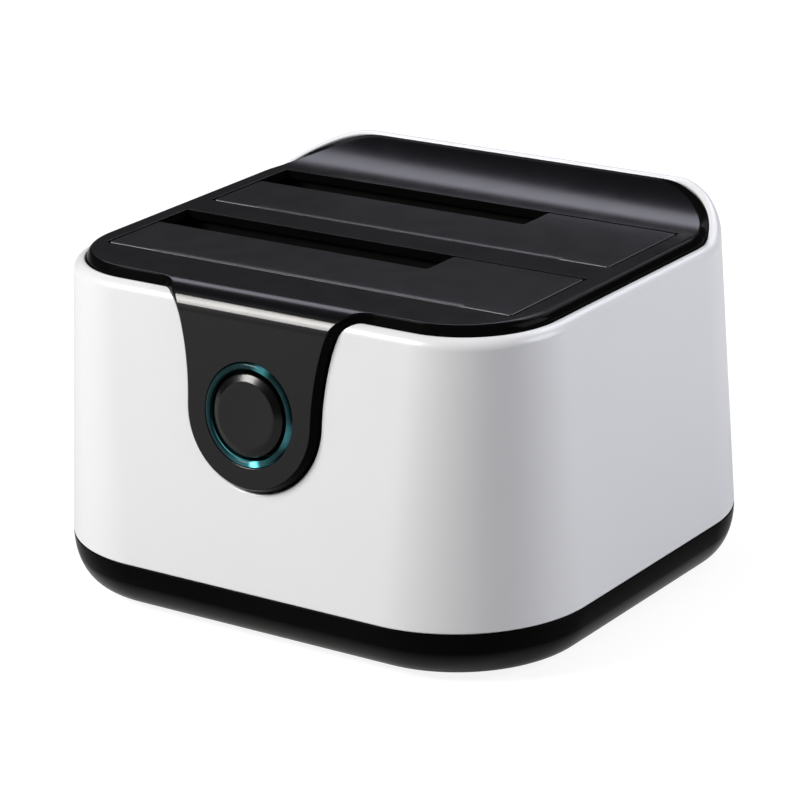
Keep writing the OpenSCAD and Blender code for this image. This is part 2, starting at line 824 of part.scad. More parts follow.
// Flat ribbon from the button board down to the main board
module button_ribbon() {
    top = button_z - panel_down / 2;
    bend = board_top + 2 * ribbon_front;
    back = (panel_z + panel_t + ribbon_t / 10) / cos(draft_a);
    y_top = face_y(top) + back;
    y_low = face_y(bend) + back;
    y_flat = y_low + ribbon_front;
    end = ribbon_front - board_front;
    color([0.75, 0.75, 0.72]) along_x(ribbon_w)
        polygon([[y_top, top], [y_top + ribbon_t, top], [y_low + ribbon_t, bend],
            [y_flat + ribbon_t, board_top + ribbon_t], [end, board_top + ribbon_t], [end, board_top],
            [y_flat, board_top], [y_low, bend]]);
}

module main_board() {
    color([0.05, 0.3, 0.15]) difference() {
        translate([-board_hw, -board_front, board_z])
            cube([2 * board_hw, board_front + board_rear, board_t]);
        for (p = board_holes)
            translate([p[0], p[1], board_z - cut]) cylinder(r = board_hole_r, h = board_t + 2 * cut);
    }
}

// Places children at a bay's drive socket
module at_socket(y0) {
    translate([sata_mid_x, y0 + slot_d - sata_back, board_top]) children();
}

// Keyed opening in a drive socket
module key_slot(x0, w, tail_x) {
    depth = sata_h - sata_slot_depth;
    translate([x0, -sata_slot_d / 2, depth]) cube([w, sata_slot_d, sata_h]);
    translate([tail_x, -sata_slot_d / 2 - key_tail, depth])
        cube([sata_slot_d, key_tail + cut / 2, sata_h]);
}

key_x0 = -(power_key_w + key_gap + data_key_w) / 2;
data_x0 = key_x0 + power_key_w + key_gap;

module drive_socket(y0) {
    color([0.1, 0.1, 0.1]) at_socket(y0) difference() {
        union() {
            translate([-sata_w / 2, -sata_d / 2, 0]) cube([sata_w, sata_d, sata_h]);
            for (side = [-1, 1])
                translate([side * (sata_w - post_block) / 2 - post_block / 2, -post_block / 2, 0])
                    cube([post_block, post_block, sata_h + post_rise]);
        }
        key_slot(key_x0, power_key_w, key_x0);
        key_slot(data_x0, data_key_w, data_x0 + data_key_w - sata_slot_d);
    }
}

module front_drive_socket() {
    drive_socket(front_slot_y);
}

module rear_drive_socket() {
    drive_socket(rear_slot_y);
}

// Row of contact blades against one wall of a key slot
module blades(x0, w, count) {
    first = x0 + (w - contact_w - (count - 1) * contact_pitch) / 2;
    for (i = [0:count - 1])
        translate([first + i * contact_pitch, sata_slot_d / 2 - contact_t, sata_h - sata_slot_depth])
            cube([contact_w, contact_t, sata_slot_depth - cut]);
}

module socket_contacts(y0) {
    color([0.85, 0.68, 0.3]) at_socket(y0) {
        blades(key_x0, power_key_w, power_pins);
        blades(data_x0, data_key_w, data_pins);
    }
}

module front_socket_contacts() {
    socket_contacts(front_slot_y);
}

module rear_socket_contacts() {
    socket_contacts(rear_slot_y);
}

// Outline of the data port: two upper corners are cut off
function port_points(inset) =
    let (w = usb_w / 2 - inset, h0 = inset, h1 = usb_h - inset, b = usb_bevel)
    [[-w, h0], [w, h0], [w, h1 - b], [w - b, h1], [b - w, h1], [-w, h1 - b]];

// Places an outline drawn in XZ at the back face, extruded forwards
module at_port(x, length) {
    translate([x, port_y, board_top]) rotate([90, 0, 0]) linear_extrude(length) children();
}

module data_port_shell() {
    color([0.75, 0.75, 0.77]) difference() {
        at_port(usb_x, usb_len) polygon(port_points(0));
        translate([0, cut, 0]) at_port(usb_x, usb_len + 2 * cut) polygon(port_points(usb_t));
    }
}

module data_port_insert() {
    color([0.1, 0.1, 0.1]) union() {
        translate([0, usb_back - usb_len, 0]) at_port(usb_x, usb_back) polygon(port_points(usb_t));
        translate([usb_x - usb_tongue[0] / 2, port_y + usb_back - usb_len - cut, board_top + usb_tongue_z])
            cube(usb_tongue);
    }
}

module power_jack() {
    color([0.08, 0.08, 0.08]) difference() {
        at_port(jack_x, jack_len) translate([-jack_w / 2, 0]) square([jack_w, jack_h]);
        translate([jack_x, port_y + cut, board_top + jack_mid]) rotate([90, 0, 0])
            cylinder(r = jack_r, h = jack_depth + cut);
    }
}

module power_jack_pin() {
    color([0.8, 0.8, 0.82]) translate([jack_x, port_y - jack_depth + jack_pin_len, board_top + jack_mid])
        rotate([90, 0, 0]) cylinder(r = jack_pin_r, h = jack_pin_len);
}

// Block on the board with its middle at a point
module on_board(at, size) {
    translate([at[0] - size[0] / 2, at[1] - size[1] / 2, board_top]) cube(size);
}

module bridge_chip() {
    color([0.1, 0.1, 0.1]) on_board(chip_at, chip);
}

module power_coil() {
    color([0.25, 0.25, 0.27]) on_board(coil_at, coil);
}

module capacitors() {
    color([0.7, 0.72, 0.75])
        for (p = cap_at)
            translate([p[0], p[1], board_top]) cylinder(r = can_r, h = can_h);
}

module crystal() {
    color([0.8, 0.8, 0.82]) on_board(xtal_at, xtal);
}

// Pan-head screw, head down, standing on the origin
module screw(head_r, head_h, shaft_r, length) {
    translate([0, 0, -head_h]) cylinder(r = head_r, h = head_h);
    cylinder(r = shaft_r, h = length);
}

module guide_screws() {
    color([0.6, 0.6, 0.62]) at_ears() translate([0, 0, under_z - ear_drop - ear_t])
        screw(ear_head_r, ear_head_h, ear_shaft_r, ear_t + ear_shaft_up);
}

module board_screws() {
    color([0.6, 0.6, 0.62])
        for (p = board_holes)
            translate([p[0], p[1], board_top]) mirror([0, 0, 1])
                screw(board_head_r, board_head_h, board_shaft_r, board_screw_len);
}

module button_board_screws() {
    color([0.6, 0.6, 0.62])
        for (side = [-1, 1])
            on_face() translate([side * panel_boss_x, panel_boss_y, -panel_z - panel_t])
                screw(panel_head_r, panel_head_h, panel_pilot_r - lug_fit, panel_t + panel_screw_len - cut);
}

module base_screws() {
    seat = foot_h + head_seat;
    color([0.2, 0.2, 0.2])
        for (p = posts)
            translate([p[0], p[1], seat])
                screw(base_head_r, base_head_h, base_shaft_r, boss_top - seat + base_screw_len - 2 * cut);
}

module feet() {
    color([0.12, 0.12, 0.12]) at_feet() cylinder(r = foot_r, h = foot_h + foot_sink);
}

outer_shell();
top_cover();
base_cover();
tie_posts();
front_bay_guide();
rear_bay_guide();
front_door();
rear_door();
front_hinge_pin();
rear_hinge_pin();
front_door_spring();
rear_door_spring();
light_ring();
power_button();
switch_plunger();
switch_body();
button_board();
ring_leds();
button_ribbon();
main_board();
front_drive_socket();
rear_drive_socket();
front_socket_contacts();
rear_socket_contacts();
data_port_shell();
data_port_insert();
power_jack();
power_jack_pin();
bridge_chip();
power_coil();
capacitors();
crystal();
guide_screws();
board_screws();
button_board_screws();
base_screws();
feet();
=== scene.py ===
import math

import bmesh
import bpy
from bpy.props import FloatProperty, FloatVectorProperty, IntProperty, PointerProperty
from mathutils import Matrix, Vector, geometry


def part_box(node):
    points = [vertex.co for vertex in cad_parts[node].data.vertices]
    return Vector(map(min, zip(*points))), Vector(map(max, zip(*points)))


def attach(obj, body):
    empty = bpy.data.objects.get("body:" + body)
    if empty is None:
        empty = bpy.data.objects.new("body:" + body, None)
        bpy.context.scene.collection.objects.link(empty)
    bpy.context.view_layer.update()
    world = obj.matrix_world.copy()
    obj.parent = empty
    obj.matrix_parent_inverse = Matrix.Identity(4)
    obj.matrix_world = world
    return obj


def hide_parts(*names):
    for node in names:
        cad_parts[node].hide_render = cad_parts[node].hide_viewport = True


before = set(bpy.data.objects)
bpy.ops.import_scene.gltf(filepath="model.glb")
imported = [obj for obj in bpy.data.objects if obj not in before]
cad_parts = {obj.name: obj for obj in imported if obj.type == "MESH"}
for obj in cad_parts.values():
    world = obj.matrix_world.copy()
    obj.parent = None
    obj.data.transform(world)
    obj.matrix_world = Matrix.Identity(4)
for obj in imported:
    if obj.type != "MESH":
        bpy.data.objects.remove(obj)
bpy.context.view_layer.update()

bl_info = {
    "name": "Twin-bay drive dock",
    "version": (1, 0, 0),
    "blender": (4, 5, 0),
    "location": "3D View > Sidebar > Drive dock",
    "description": "Dresses the dock's solids with fine skins, fixings and finishes",
    "category": "Object",
}

SHELL_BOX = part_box("outer_shell")
X_AXIS = Vector((1, 0, 0))
UP = Vector((0, 0, 1))
MILLIMETRES = 1000


def length(name, default, description):
    """A size in metres that the user can change."""
    return FloatProperty(name=name, description=description, default=default, unit="LENGTH", precision=5)


def power(name, default, description):
    """A lamp's power that the user can change."""
    return FloatProperty(name=name, description=description, default=default, unit="POWER")


def slope(name, default, description):
    """An angle in degrees that the user can change."""
    return FloatProperty(name=name, description=description, default=default)


def tint(name, default, description):
    """A colour that the user can change."""
    return FloatVectorProperty(name=name, description=description, default=default, subtype="COLOR",
                               min=0, max=1)


class SleeveSizes(bpy.types.PropertyGroup):
    """Sizes of the white sleeve"""

    edge_half_width: length("Lip half width", 0.0575, "From the middle to the inside of the lip, sideways")
    edge_half_depth: length("Lip half depth", 0.0484, "From the middle to the inside of the lip, front to back")
    edge_radius: length("Lip corner", 0.020, "Corner radius at the inside of the lip")
    low_half_width: length("Foot half width", SHELL_BOX[1].x, "Half the width at the lower edge")
    low_half_depth: length("Foot half depth", SHELL_BOX[1].y, "Half the depth at the lower edge")
    low_radius: length("Foot corner", 0.0306, "Corner radius at the lower edge")
    lip_radius: length("Lip radius", 0.0026, "Radius of the rounded lip")
    shoulder: length("Shoulder", 0.0703, "Height at which the lip begins")
    seam: length("Seam", SHELL_BOX[0].z, "Height of the seam above the base")
    wall: length("Wall", 0.0024, "Thickness of the wall")
    sweep: length("Lip sweep", 0.00793, "How far the inside of the lip rises at the back")
    tilt: length("Lip tilt", 0.0023, "How much more the outside of the lip rises at most")
    soft_edge: length("Soft edge", 0.0004, "Rounding of the cut edges")


class DeckSizes(bpy.types.PropertyGroup):
    """Sizes of the black deck and its tongue"""

    height: length("Deck height", 0.075, "Height of the deck above the table")
    thick: length("Thickness", 0.002, "Thickness of the deck")
    gap: length("Gap to the lip", 0.00025, "Gap between deck and lip")
    edge_down: length("Edge drop", 0.0021, "Height of the sloped edge")
    sweep: length("Sweep", 0.0064, "How far the deck rises at the back")
    rim_width: length("Rim width", 0.00205, "Greatest width of the gloss rim, at the rear corners")
    sweep_start: length("Sweep start", 0.0310, "Where the deck begins to rise")
    nose: length("Nose radius", 0.006, "Radius where the deck rolls over into the tongue")
    tongue: length("Tongue radius", 0.0156, "Radius of the tongue's round end")
    flare: length("Tongue flare", 0.0048, "How much wider the tongue is at the deck")
    kick: length("Tongue kick", 0.003, "Extra flare where the tongue leaves the deck")
    tongue_edge: length("Tongue slope", 0.00105, "How far the tongue's edge slopes out")
    tongue_proud: length("Tongue height", 0.002, "How far the tongue stands proud of the sleeve")
    tongue_gap: length("Tongue gap", 0.00035, "Gap around the tongue in the sleeve")
    drop: length("Button drop", 0.0242, "Button centre below the deck")
    slot_half: length("Slot half width", 0.052, "Half the width of a slot")
    slot_depth: length("Slot depth", 0.0286, "Depth of a slot, front to back")
    front_slot: length("Front slot", -0.0352, "Front edge of the front slot")
    pitch: length("Slot pitch", 0.0372, "From one slot to the next")


class DoorSizes(bpy.types.PropertyGroup):
    """Sizes of the flap doors"""

    gap: length("Door gap", 0.0005, "Gap around a door")
    thick: length("Door thickness", 0.002, "Thickness of a door")
    notch_width: length("Open corner width", 0.0713, "Width of the open corner")
    notch_depth: length("Open corner depth", 0.0105, "Depth of the open corner")
    hinge_back: length("Hinge set-back", 0.002, "Hinge axis in front of the slot")
    hinge_height: length("Hinge height", 0.0713, "Height of the hinge axis")
    barrel: length("Barrel radius", 0.00135, "Radius of a hinge barrel")
    bore: length("Barrel bore", 0.00086, "Radius of the bore for the pin")
    barrel_end: length("Barrel end", 0.040, "Outer end of the barrels")
    barrel_length: length("Barrel length", 0.012, "Length of a barrel")


class ButtonSizes(bpy.types.PropertyGroup):
    """Sizes of the power button and its light ring"""

    ring: length("Ring radius", 0.0109, "Outer radius of the light ring")
    ring_width: length("Ring width", 0.0019, "Width of the light ring")
    ring_lens: length("Lens width", 0.0012, "Width of the ring where it shows")
    ring_crest: length("Lens height", 0.00035, "How far the ring's dome stands out")
    # The ring's inside above this height carries a painted highlight: an emission line that stands in for a
    # reflection.
    ring_edge: length("Lit edge", 0.00014, "Height of the bright edge inside the ring")
    ring_depth: length("Ring depth", 0.0056, "Depth of the light ring")
    cap: length("Cap radius", 0.00885, "Radius of the button")
    flat: length("Flat radius", 0.007, "Radius of the button's flat")
    dish: length("Dish", 0.0002, "How far the button's flat is hollowed")
    proud: length("Cap height", 0.0009, "How far the button stands out")
    slope_start: slope("Bevel start", 24, "Slope of the bevel at the flat, in degrees")
    slope_end: slope("Bevel end", 65, "Slope of the bevel at the rim, in degrees")


class BaseSizes(bpy.types.PropertyGroup):
    """Sizes of the base, its feet and screws"""

    tuck: length("Tuck", 0.006, "How far the base tucks in towards its bottom")
    bottom: length("Bottom", 0.0013, "Height of the base above the table")
    floor: length("Floor", 0.0022, "Thickness of the floor")
    foot: length("Foot radius", 0.006, "Radius of a foot")
    foot_x: length("Foot place X", 0.0393, "Feet from the middle, sideways")
    foot_y: length("Foot place Y", 0.0273, "Feet from the middle, front to back")
    screw_hole: length("Screw hole", 0.0032, "Radius of a screw's counterbore")
    front_screw_x: length("Front screws X", 0.036, "Front base screws from the middle, sideways")
    front_screw_y: length("Front screws Y", -0.0448, "Depth of the front base screws")
    rear_screw_x: length("Rear screws X", 0.045, "Rear base screws from the middle, sideways")
    rear_screw_y: length("Rear screws Y", 0.038, "Depth of the rear base screws")


class FixingSizes(bpy.types.PropertyGroup):
    """Sizes of the screws, contacts and springs"""

    base_head: length("Base screw head", 0.0028, "Head radius of the base screws")
    base_head_high: length("Base screw head height", 0.0018, "Head height of the base screws")
    base_shaft: length("Base screw shaft", 0.0014, "Shaft radius of the base screws")
    board_head: length("Board screw head", 0.0024, "Head radius of the main board's screws")
    guide_head: length("Guide screw head", 0.0021, "Head radius of the guides' screws")
    small_head: length("Small screw head", 0.0017, "Head radius of the button board's screws")
    small_x: length("Small screws X", 0.0129, "Button board screws from the middle, sideways")
    small_y: length("Small screws up", 0.0052, "Button board screws above the button's centre")
    small_deep: length("Small screws deep", 0.0126, "Seat of the button board's screws behind the face")
    contact_width: length("Contact width", 0.0006, "Width of a contact")
    contact_pitch: length("Contact pitch", 0.00127, "From one contact to the next")
    contact_bow: length("Contact bow", 0.00025, "How far a contact bows out")
    spring_wire: length("Spring wire", 0.00025, "Wire radius of a door spring")
    spring_coil: length("Spring coil", 0.00120, "Coil radius of a door spring, at the middle of its wire")
    spring_step: length("Spring step", 0.0012, "From one turn of a spring to the next")
    spring_short: length("Spring short leg", 0.0011, "Length of a spring's leg at the guide")
    spring_long: length("Spring long leg", 0.009, "Length of a spring's leg under the door")
    spring_turns: IntProperty(name="Spring turns", description="Turns of a door spring", default=6,
                              min=3, max=8)


class DockColours(bpy.types.PropertyGroup):
    """Colours of the finishes"""

    white: tint("Sleeve white", (0.79, 0.80, 0.82), "Gloss white of the sleeve")
    black: tint("Deck black", (0.0035, 0.0035, 0.0048), "Satin black of deck, doors and button")
    gloss: tint("Base black", (0.0025, 0.0025, 0.0025), "Gloss black of base and deck edge")
    teal: tint("Ring teal", (0.16, 0.75, 0.84), "Clear teal of the light ring")
    board: tint("Board green", (0.010, 0.090, 0.040), "Solder mask of the boards")
    steel: tint("Steel", (0.62, 0.62, 0.63), "Bare and plated steel")
    gold: tint("Gold", (0.83, 0.60, 0.22), "Plated contacts")


class StageLook(bpy.types.PropertyGroup):
    """Camera, lamps and floor"""

    lens: FloatProperty(name="Lens", description="Focal length", default=160.96, unit="CAMERA")
    left: power("Left lamp", 21.0, "Power of the lamp at the front left")
    right: power("Right lamp", 4.7, "Power of the lamp at the right")
    back: power("Back lamp", 1.35, "Power of the lamp at the back left")
    low: power("Low lamp", 0.4, "Power of the low lamp at the front left")
    top: power("Top lamp", 2.1, "Power of the high lamp at the back")
    ambient: FloatProperty(name="Ambient", description="Strength of the plain light all round", default=0.05)
    corner_steps: IntProperty(name="Corner steps", description="Faces round each corner", default=24)


class DockSettings(bpy.types.PropertyGroup):
    """Everything that can be changed"""

    sleeve: PointerProperty(type=SleeveSizes, name="Sleeve", description="Sizes of the sleeve")
    deck: PointerProperty(type=DeckSizes, name="Deck", description="Sizes of the deck")
    doors: PointerProperty(type=DoorSizes, name="Doors", description="Sizes of the doors")
    button: PointerProperty(type=ButtonSizes, name="Button", description="Sizes of the button")
    base: PointerProperty(type=BaseSizes, name="Base", description="Sizes of the base")
    fixings: PointerProperty(type=FixingSizes, name="Fixings", description="Screws, contacts and springs")
    colours: PointerProperty(type=DockColours, name="Colours", description="Colours of the finishes")
    stage: PointerProperty(type=StageLook, name="Stage", description="Camera, lamps and floor")


# Finishes

def add(tree, kind, inputs=None, out=0, **settings):
    """One output of a new node; an input is a value or another node's socket."""
    node = tree.nodes.new(kind)
    for key, value in settings.items():
        setattr(node, key, value)
    for key, value in (inputs or {}).items():
        if isinstance(value, bpy.types.NodeSocket):
            tree.links.new(value, node.inputs[key])
        else:
            node.inputs[key].default_value = value
    return node.outputs[out]


def empty_tree(name):
    """A material with an empty tree and the socket for its surface."""
    material = bpy.data.materials.new(name)
    material.use_nodes = True
    tree = material.node_tree
    tree.nodes.clear()
    return material, tree, tree.nodes.new("ShaderNodeOutputMaterial").inputs["Surface"]


def nodes_of(name, **values):
    """A material with one plain shader; values are set on its sockets."""
    material, tree, surface = empty_tree(name)
    shader = tree.nodes.new("ShaderNodeBsdfPrincipled")
    for key, value in values.items():
        shader.inputs[key.replace("_", " ")].default_value = value
    tree.links.new(shader.outputs["BSDF"], surface)
    return material, tree, shader


def shade(colour, share):
    """A colour made darker or lighter."""
    return tuple(min(1, c * share) for c in colour)


def object_place(tree):
    """Where a point lies on the object."""
    return add(tree, "ShaderNodeTexCoord", out="Object")


def levels(tree, value, low, high, low_value, high_value, **settings):
    """Maps a range of a value to another range."""
    return add(tree, "ShaderNodeMapRange", {"Value": value, "From Min": low, "From Max": high,
                                            "To Min": low_value, "To Max": high_value}, **settings)


def noise(tree, scale, detail=3.0, stretch=None):
    """A noise on object coordinates, scale in features a metre."""
    place = object_place(tree)
    if stretch:
        place = add(tree, "ShaderNodeMapping", {"Vector": place, "Scale": stretch})
    return add(tree, "ShaderNodeTexNoise", {"Vector": place, "Scale": scale, "Detail": detail}, "Fac")


NOISE_RANGE = (0.3, 0.7)


def spread(tree, fac, low, high, socket):
    """Maps a noise to a range of numbers on a socket."""
    tree.links.new(levels(tree, fac, *NOISE_RANGE, low, high), socket)


def blend_colours(tree, fac, low, high, socket):
    """Maps a noise to a range of colours on a socket."""
    node = tree.nodes.new("ShaderNodeValToRGB")
    for end, at, colour in zip(node.color_ramp.elements, NOISE_RANGE, (low, high)):
        end.position = at
        end.color = (*colour, 1)
    tree.links.new(fac, node.inputs["Fac"])
    tree.links.new(node.outputs["Color"], socket)


def grain(tree, shader, scale, depth, detail=2.0):
    """A fine moulded texture, depth in metres."""
    height = noise(tree, scale, detail)
    bump = add(tree, "ShaderNodeBump", {"Strength": 1.0, "Distance": depth, "Height": height})
    tree.links.new(bump, shader.inputs["Normal"])


def moulded(name, colour, rough, drift=0.06, grain_scale=2500, grain_depth=4e-6, coat=0.0, coat_rough=0.1,
            shine=0.5):
    """Moulded plastic: slow drift of colour, uneven gloss and, where it has depth, a fine grain."""
    material, tree, shader = nodes_of(name, Specular_IOR_Level=shine, Coat_Weight=coat,
                                      Coat_Roughness=coat_rough)
    low, high = shade(colour, 1 - drift), shade(colour, 1 + drift)
    blend_colours(tree, noise(tree, 45, 1.0), low, high, shader.inputs["Base Color"])
    spread(tree, noise(tree, 160, 1.0), rough * 0.94, rough * 1.06, shader.inputs["Roughness"])
    if grain_depth:
        grain(tree, shader, grain_scale, grain_depth)
    return material


def by_height(material, low, high, low_shine, high_shine):
    """Lets a finish shine more towards its lower edge."""
    tree = material.node_tree
    height = add(tree, "ShaderNodeSeparateXYZ", {"Vector": object_place(tree)}, "Z")
    shine = levels(tree, height, low, high, low_shine, high_shine)
    tree.links.new(shine, tree.nodes["Principled BSDF"].inputs["Specular IOR Level"])


def metal(name, colour, rough, brushed=(1, 1, 1), grain_scale=3000, grain_depth=1.5e-6):
    """Plated metal with fine drawn marks."""
    material, tree, shader = nodes_of(name, Metallic=1.0)
    blend_colours(tree, noise(tree, 300, 3.0, brushed), shade(colour, 0.9), colour, shader.inputs["Base Color"])
    spread(tree, noise(tree, 1200, 3.0, brushed), rough * 0.75, rough * 1.25, shader.inputs["Roughness"])
    grain(tree, shader, grain_scale, grain_depth)
    return material


def clear_teal(name, colour, spots):
    """Clear teal plastic with painted light: its emission paints highlights and a glow at spots of (place,
    reach, strength).
    """
    material, tree, shader = nodes_of(name, Roughness=0.14, IOR=1.49, Transmission_Weight=0.15,
                                      Specular_IOR_Level=0.06)
    blend_colours(tree, noise(tree, 220), shade(colour, 0.02), shade(colour, 0.05), shader.inputs["Base Color"])
    # Painted light: the emission colour and the spots' strength paint the ring's highlights and glow.
    blend_colours(tree, noise(tree, 900), shade(colour, 0.7), colour, shader.inputs["Emission Color"])
    total = None
    for place, reach, strength in spots:
        away = {0: object_place(tree), 1: place}
        away = add(tree, "ShaderNodeVectorMath", away, "Value", operation="DISTANCE")
        fade = levels(tree, away, reach, 0.0, 0.0, strength, interpolation_type="SMOOTHERSTEP")
        total = fade if total is None else add(tree, "ShaderNodeMath", {0: total, 1: fade})
    tree.links.new(total, shader.inputs["Emission Strength"])
    grain(tree, shader, 900, 3e-6)
    return material


def board_mask(name, colour):
    """Solder mask over faint copper tracks."""
    material, tree, shader = nodes_of(name, Coat_Weight=0.3)
    tracks = add(tree, "ShaderNodeTexBrick", {
        "Vector": object_place(tree), "Scale": 220, "Mortar Size": 0.03, "Color1": (*colour, 1),
        "Color2": (*shade(colour, 0.8), 1), "Mortar": (*shade(colour, 1.8), 1)})
    tree.links.new(tracks, shader.inputs["Base Color"])
    spread(tree, noise(tree, 400), 0.28, 0.4, shader.inputs["Roughness"])
    grain(tree, shader, 1500, 5e-6)
    return material


# Shapes

def smooth(value):
    """Eases a share from 0 to 1."""
    value = min(max(value, 0), 1)
    return value * value * (3 - 2 * value)


def soften(points, legs, steps=8, closed=True):
    """Rounds the corners of a path; legs gives how far each corner is cut back."""
    out = []
    n = len(points)
    for i, (x, y) in enumerate(points):
        leg = legs[i] if isinstance(legs, (list, tuple)) else legs
        if leg == 0 or (not closed and i in (0, n - 1)):
            out.append((x, y))
            continue
        here = Vector((x, y))
        a = (Vector(points[i - 1]) - here).normalized() * leg
        b = (Vector(points[(i + 1) % n]) - here).normalized() * leg
        pull = math.sin(a.angle(b) / 2)
        for k in range(steps + 1):
            s = k / steps
            weight = (1 - s) ** 2 + 2 * pull * s * (1 - s) + s ** 2
            p = here + (a * (1 - s) ** 2 + b * s ** 2) / weight
            out.append((p.x, p.y))
    return out


def arc(x, y, radius, start, end, steps, last=True):
    """Points round a centre, from one angle to another in degrees."""
    return [(x + radius * math.cos(a), y + radius * math.sin(a))
            for a in (math.radians(start + (end - start) * k / steps) for k in range(steps + last))]


def circle(x, y, radius, sides):
    """A closed loop round a hole."""
    return [(x + radius * math.cos(a), y + radius * math.sin(a))
            for a in (-math.tau * k / sides for k in range(sides))]


def outward(loop):
    """Unit vectors to the right of the way round a closed loop."""
    out = []
    n = len(loop)
    for i in range(n):
        a, b, c = Vector(loop[i - 1]), Vector(loop[i]), Vector(loop[(i + 1) % n])
        d = (b - a).normalized() + (c - b).normalized()
        out.append(Vector((d.y, -d.x)).normalized())
    return out


def round_rows(radius, turn, steps=4):
    """Steps over a rounded edge: out and down from where it begins."""
    return [(radius * math.sin(turn * k / steps), radius * (1 - math.cos(turn * k / steps)))
            for k in range(1, steps + 1)]


def plain_edge(loop, radius, depth, steps=4):
    """Gives each point of a loop a rounded square edge."""
    out = []
    for i, ((x, y), o) in enumerate(zip(loop, outward(loop))):
        r = radius[i] if isinstance(radius, (list, tuple)) else radius
        rows = round_rows(r, math.pi / 2, steps) + [(r, depth)]
        out.append((x - o.x * r, y - o.y * r, o.x, o.y, rows))
    return out


def split(loop, rules):
    """Adds points where a loop crosses the lines of equal second coordinate."""
    for rule in rules:
        out = []
        loop = [(p[0], rule if abs(p[1] - rule) < 2e-5 else p[1], *p[2:]) for p in loop]
        for p, q in zip(loop, loop[1:] + loop[:1]):
            out.append(p)
            if (p[1] - rule) * (q[1] - rule) < 0:
                s = (rule - p[1]) / (q[1] - p[1])
                mix = [a + (b - a) * s for a, b in zip(p[:4], q[:4])]
                rows = None
                if p[4] and q[4]:
                    rows = [(a[0] + (b[0] - a[0]) * s, a[1] + (b[1] - a[1]) * s) for a, b in zip(p[4], q[4])]
                out.append((mix[0], rule, mix[2], mix[3], rows))
        loop = out
    return loop


def fill(loops, rules):
    """Triangles inside the first loop and outside the others, cut along the rules."""
    points = [(p[0] * MILLIMETRES, p[1] * MILLIMETRES) for loop in loops for p in loop]
    edges = []
    start = 0
    for loop in loops:
        n = len(loop)
        edges += [(start + i, start + (i + 1) % n) for i in range(n)]
        start += n
    border = [(points[a], points[b]) for a, b in edges]

    def inside(x, y):
        odd = False
        for (x0, y0), (x1, y1) in border:
            if (y0 > y) != (y1 > y) and x < x0 + (y - y0) * (x1 - x0) / (y1 - y0):
                odd = not odd
        return odd

    for rule in rules:
        level = rule * MILLIMETRES
        row = sorted((p[0], i) for i, p in enumerate(points) if abs(p[1] - level) < 1e-6)
        for (xa, a), (xb, b) in zip(row, row[1:]):
            if inside((xa + xb) / 2, level):
                edges.append((a, b))
    made = geometry.delaunay_2d_cdt([Vector(p) for p in points], edges, [], 0, 1e-7)
    verts, faces, source = made[0], made[2], made[3]
    out = []
    for face in faces:
        x = sum(verts[v].x for v in face) / 3
        y = sum(verts[v].y for v in face) / 3
        if inside(x, y):
            if any(not source[v] for v in face):
                raise RuntimeError("a sheet's outline crosses itself")
            a, b, c = (verts[v] for v in face)
            turned = (b - a).cross(c - a) < 0
            ids = [source[v][0] for v in face]
            out.append(ids[::-1] if turned else ids)
    return out


def sheet(bm, loops, place, thick, rules=(), gloss_from=None):
    """Closed plate over loops of (u, t, out u, out t, rows); rows step over the edge.

    From the row gloss_from on, the edges take the second finish.
    """
    loops = [split(loop, rules) for loop in loops]
    top, low = [], []
    for loop in loops:
        chains = []
        for u, t, ou, ot, rows in loop:
            at, along, up, normal = place(u, t)
            out = along * ou + up * ot
            chain = [bm.verts.new(at)]
            for o, d in rows or [(0, thick)]:
                chain.append(bm.verts.new(at + out * o - normal * d))
            top.append(chain[0])
            low.append(chain[-1])
            chains.append((chain, rows is not None))
        for (a, held_a), (b, held_b) in zip(chains, chains[1:] + chains[:1]):
            if held_a and held_b:
                for k in range(len(a) - 1):
                    made = bm.faces.new((a[k], a[k + 1], b[k + 1], b[k]))
                    if gloss_from is not None and k >= gloss_from:
                        made.material_index = 1
    for i, j, k in fill(loops, rules):
        bm.faces.new((top[i], top[j], top[k]))
        bm.faces.new((low[k], low[j], low[i]))


def grid(bm, columns, skip=(), closed=True):
    """Quads between columns of points, left out after the columns in skip."""
    made = [[bm.verts.new(p) for p in column] for column in columns]
    n = len(made)
    for i in range(n):
        if i in skip:
            continue
        a, b = made[i], made[(i + 1) % n]
        for k in range(len(a) if closed else len(a) - 1):
            m = (k + 1) % len(a)
            bm.faces.new((a[k], b[k], b[m], a[m]))


def lathe(bm, profile, place, steps=96):
    """Turns a closed profile of (radius, height) round the axis of a placing matrix."""
    rings = []
    for r, h in profile:
        if r < 1e-7:
            rings.append([bm.verts.new(place @ Vector((0, 0, h)))] * steps)
        else:
            rings.append([bm.verts.new(place @ Vector((r * math.cos(math.tau * k / steps),
                                                        r * math.sin(math.tau * k / steps), h)))
                          for k in range(steps)])
    for a, b in zip(rings, rings[1:] + rings[:1]):
        for k in range(steps):
            m = (k + 1) % steps
            face = []
            for v in (a[k], b[k], b[m], a[m]):
                if v not in face:
                    face.append(v)
            if len(face) > 2:
                bm.faces.new(face)


def block(bm, low, high, bevel=0.0002):
    """A block between two corners with softened edges."""
    made = bmesh.ops.create_cube(bm, size=1)
    verts = made["verts"]
    size = Vector(high) - Vector(low)
    middle = (Vector(high) + Vector(low)) / 2
    for v in verts:
        v.co = Vector((v.co.x * size.x, v.co.y * size.y, v.co.z * size.z)) + middle
    edges = list({e for v in verts for e in v.link_edges})
    bmesh.ops.bevel(bm, geom=edges, offset=bevel, segments=2, profile=0.5, affect="EDGES")


def put_in(name, data):
    """A new object in the scene."""
    obj = bpy.data.objects.new(name, data)
    bpy.context.scene.collection.objects.link(obj)
    return obj


def smooth_faces(mesh, crease):
    """Shades a mesh smoothly up to an angle in degrees."""
    mesh.polygons.foreach_set("use_smooth", [True] * len(mesh.polygons))
    mesh.set_sharp_from_angle(angle=math.radians(crease))


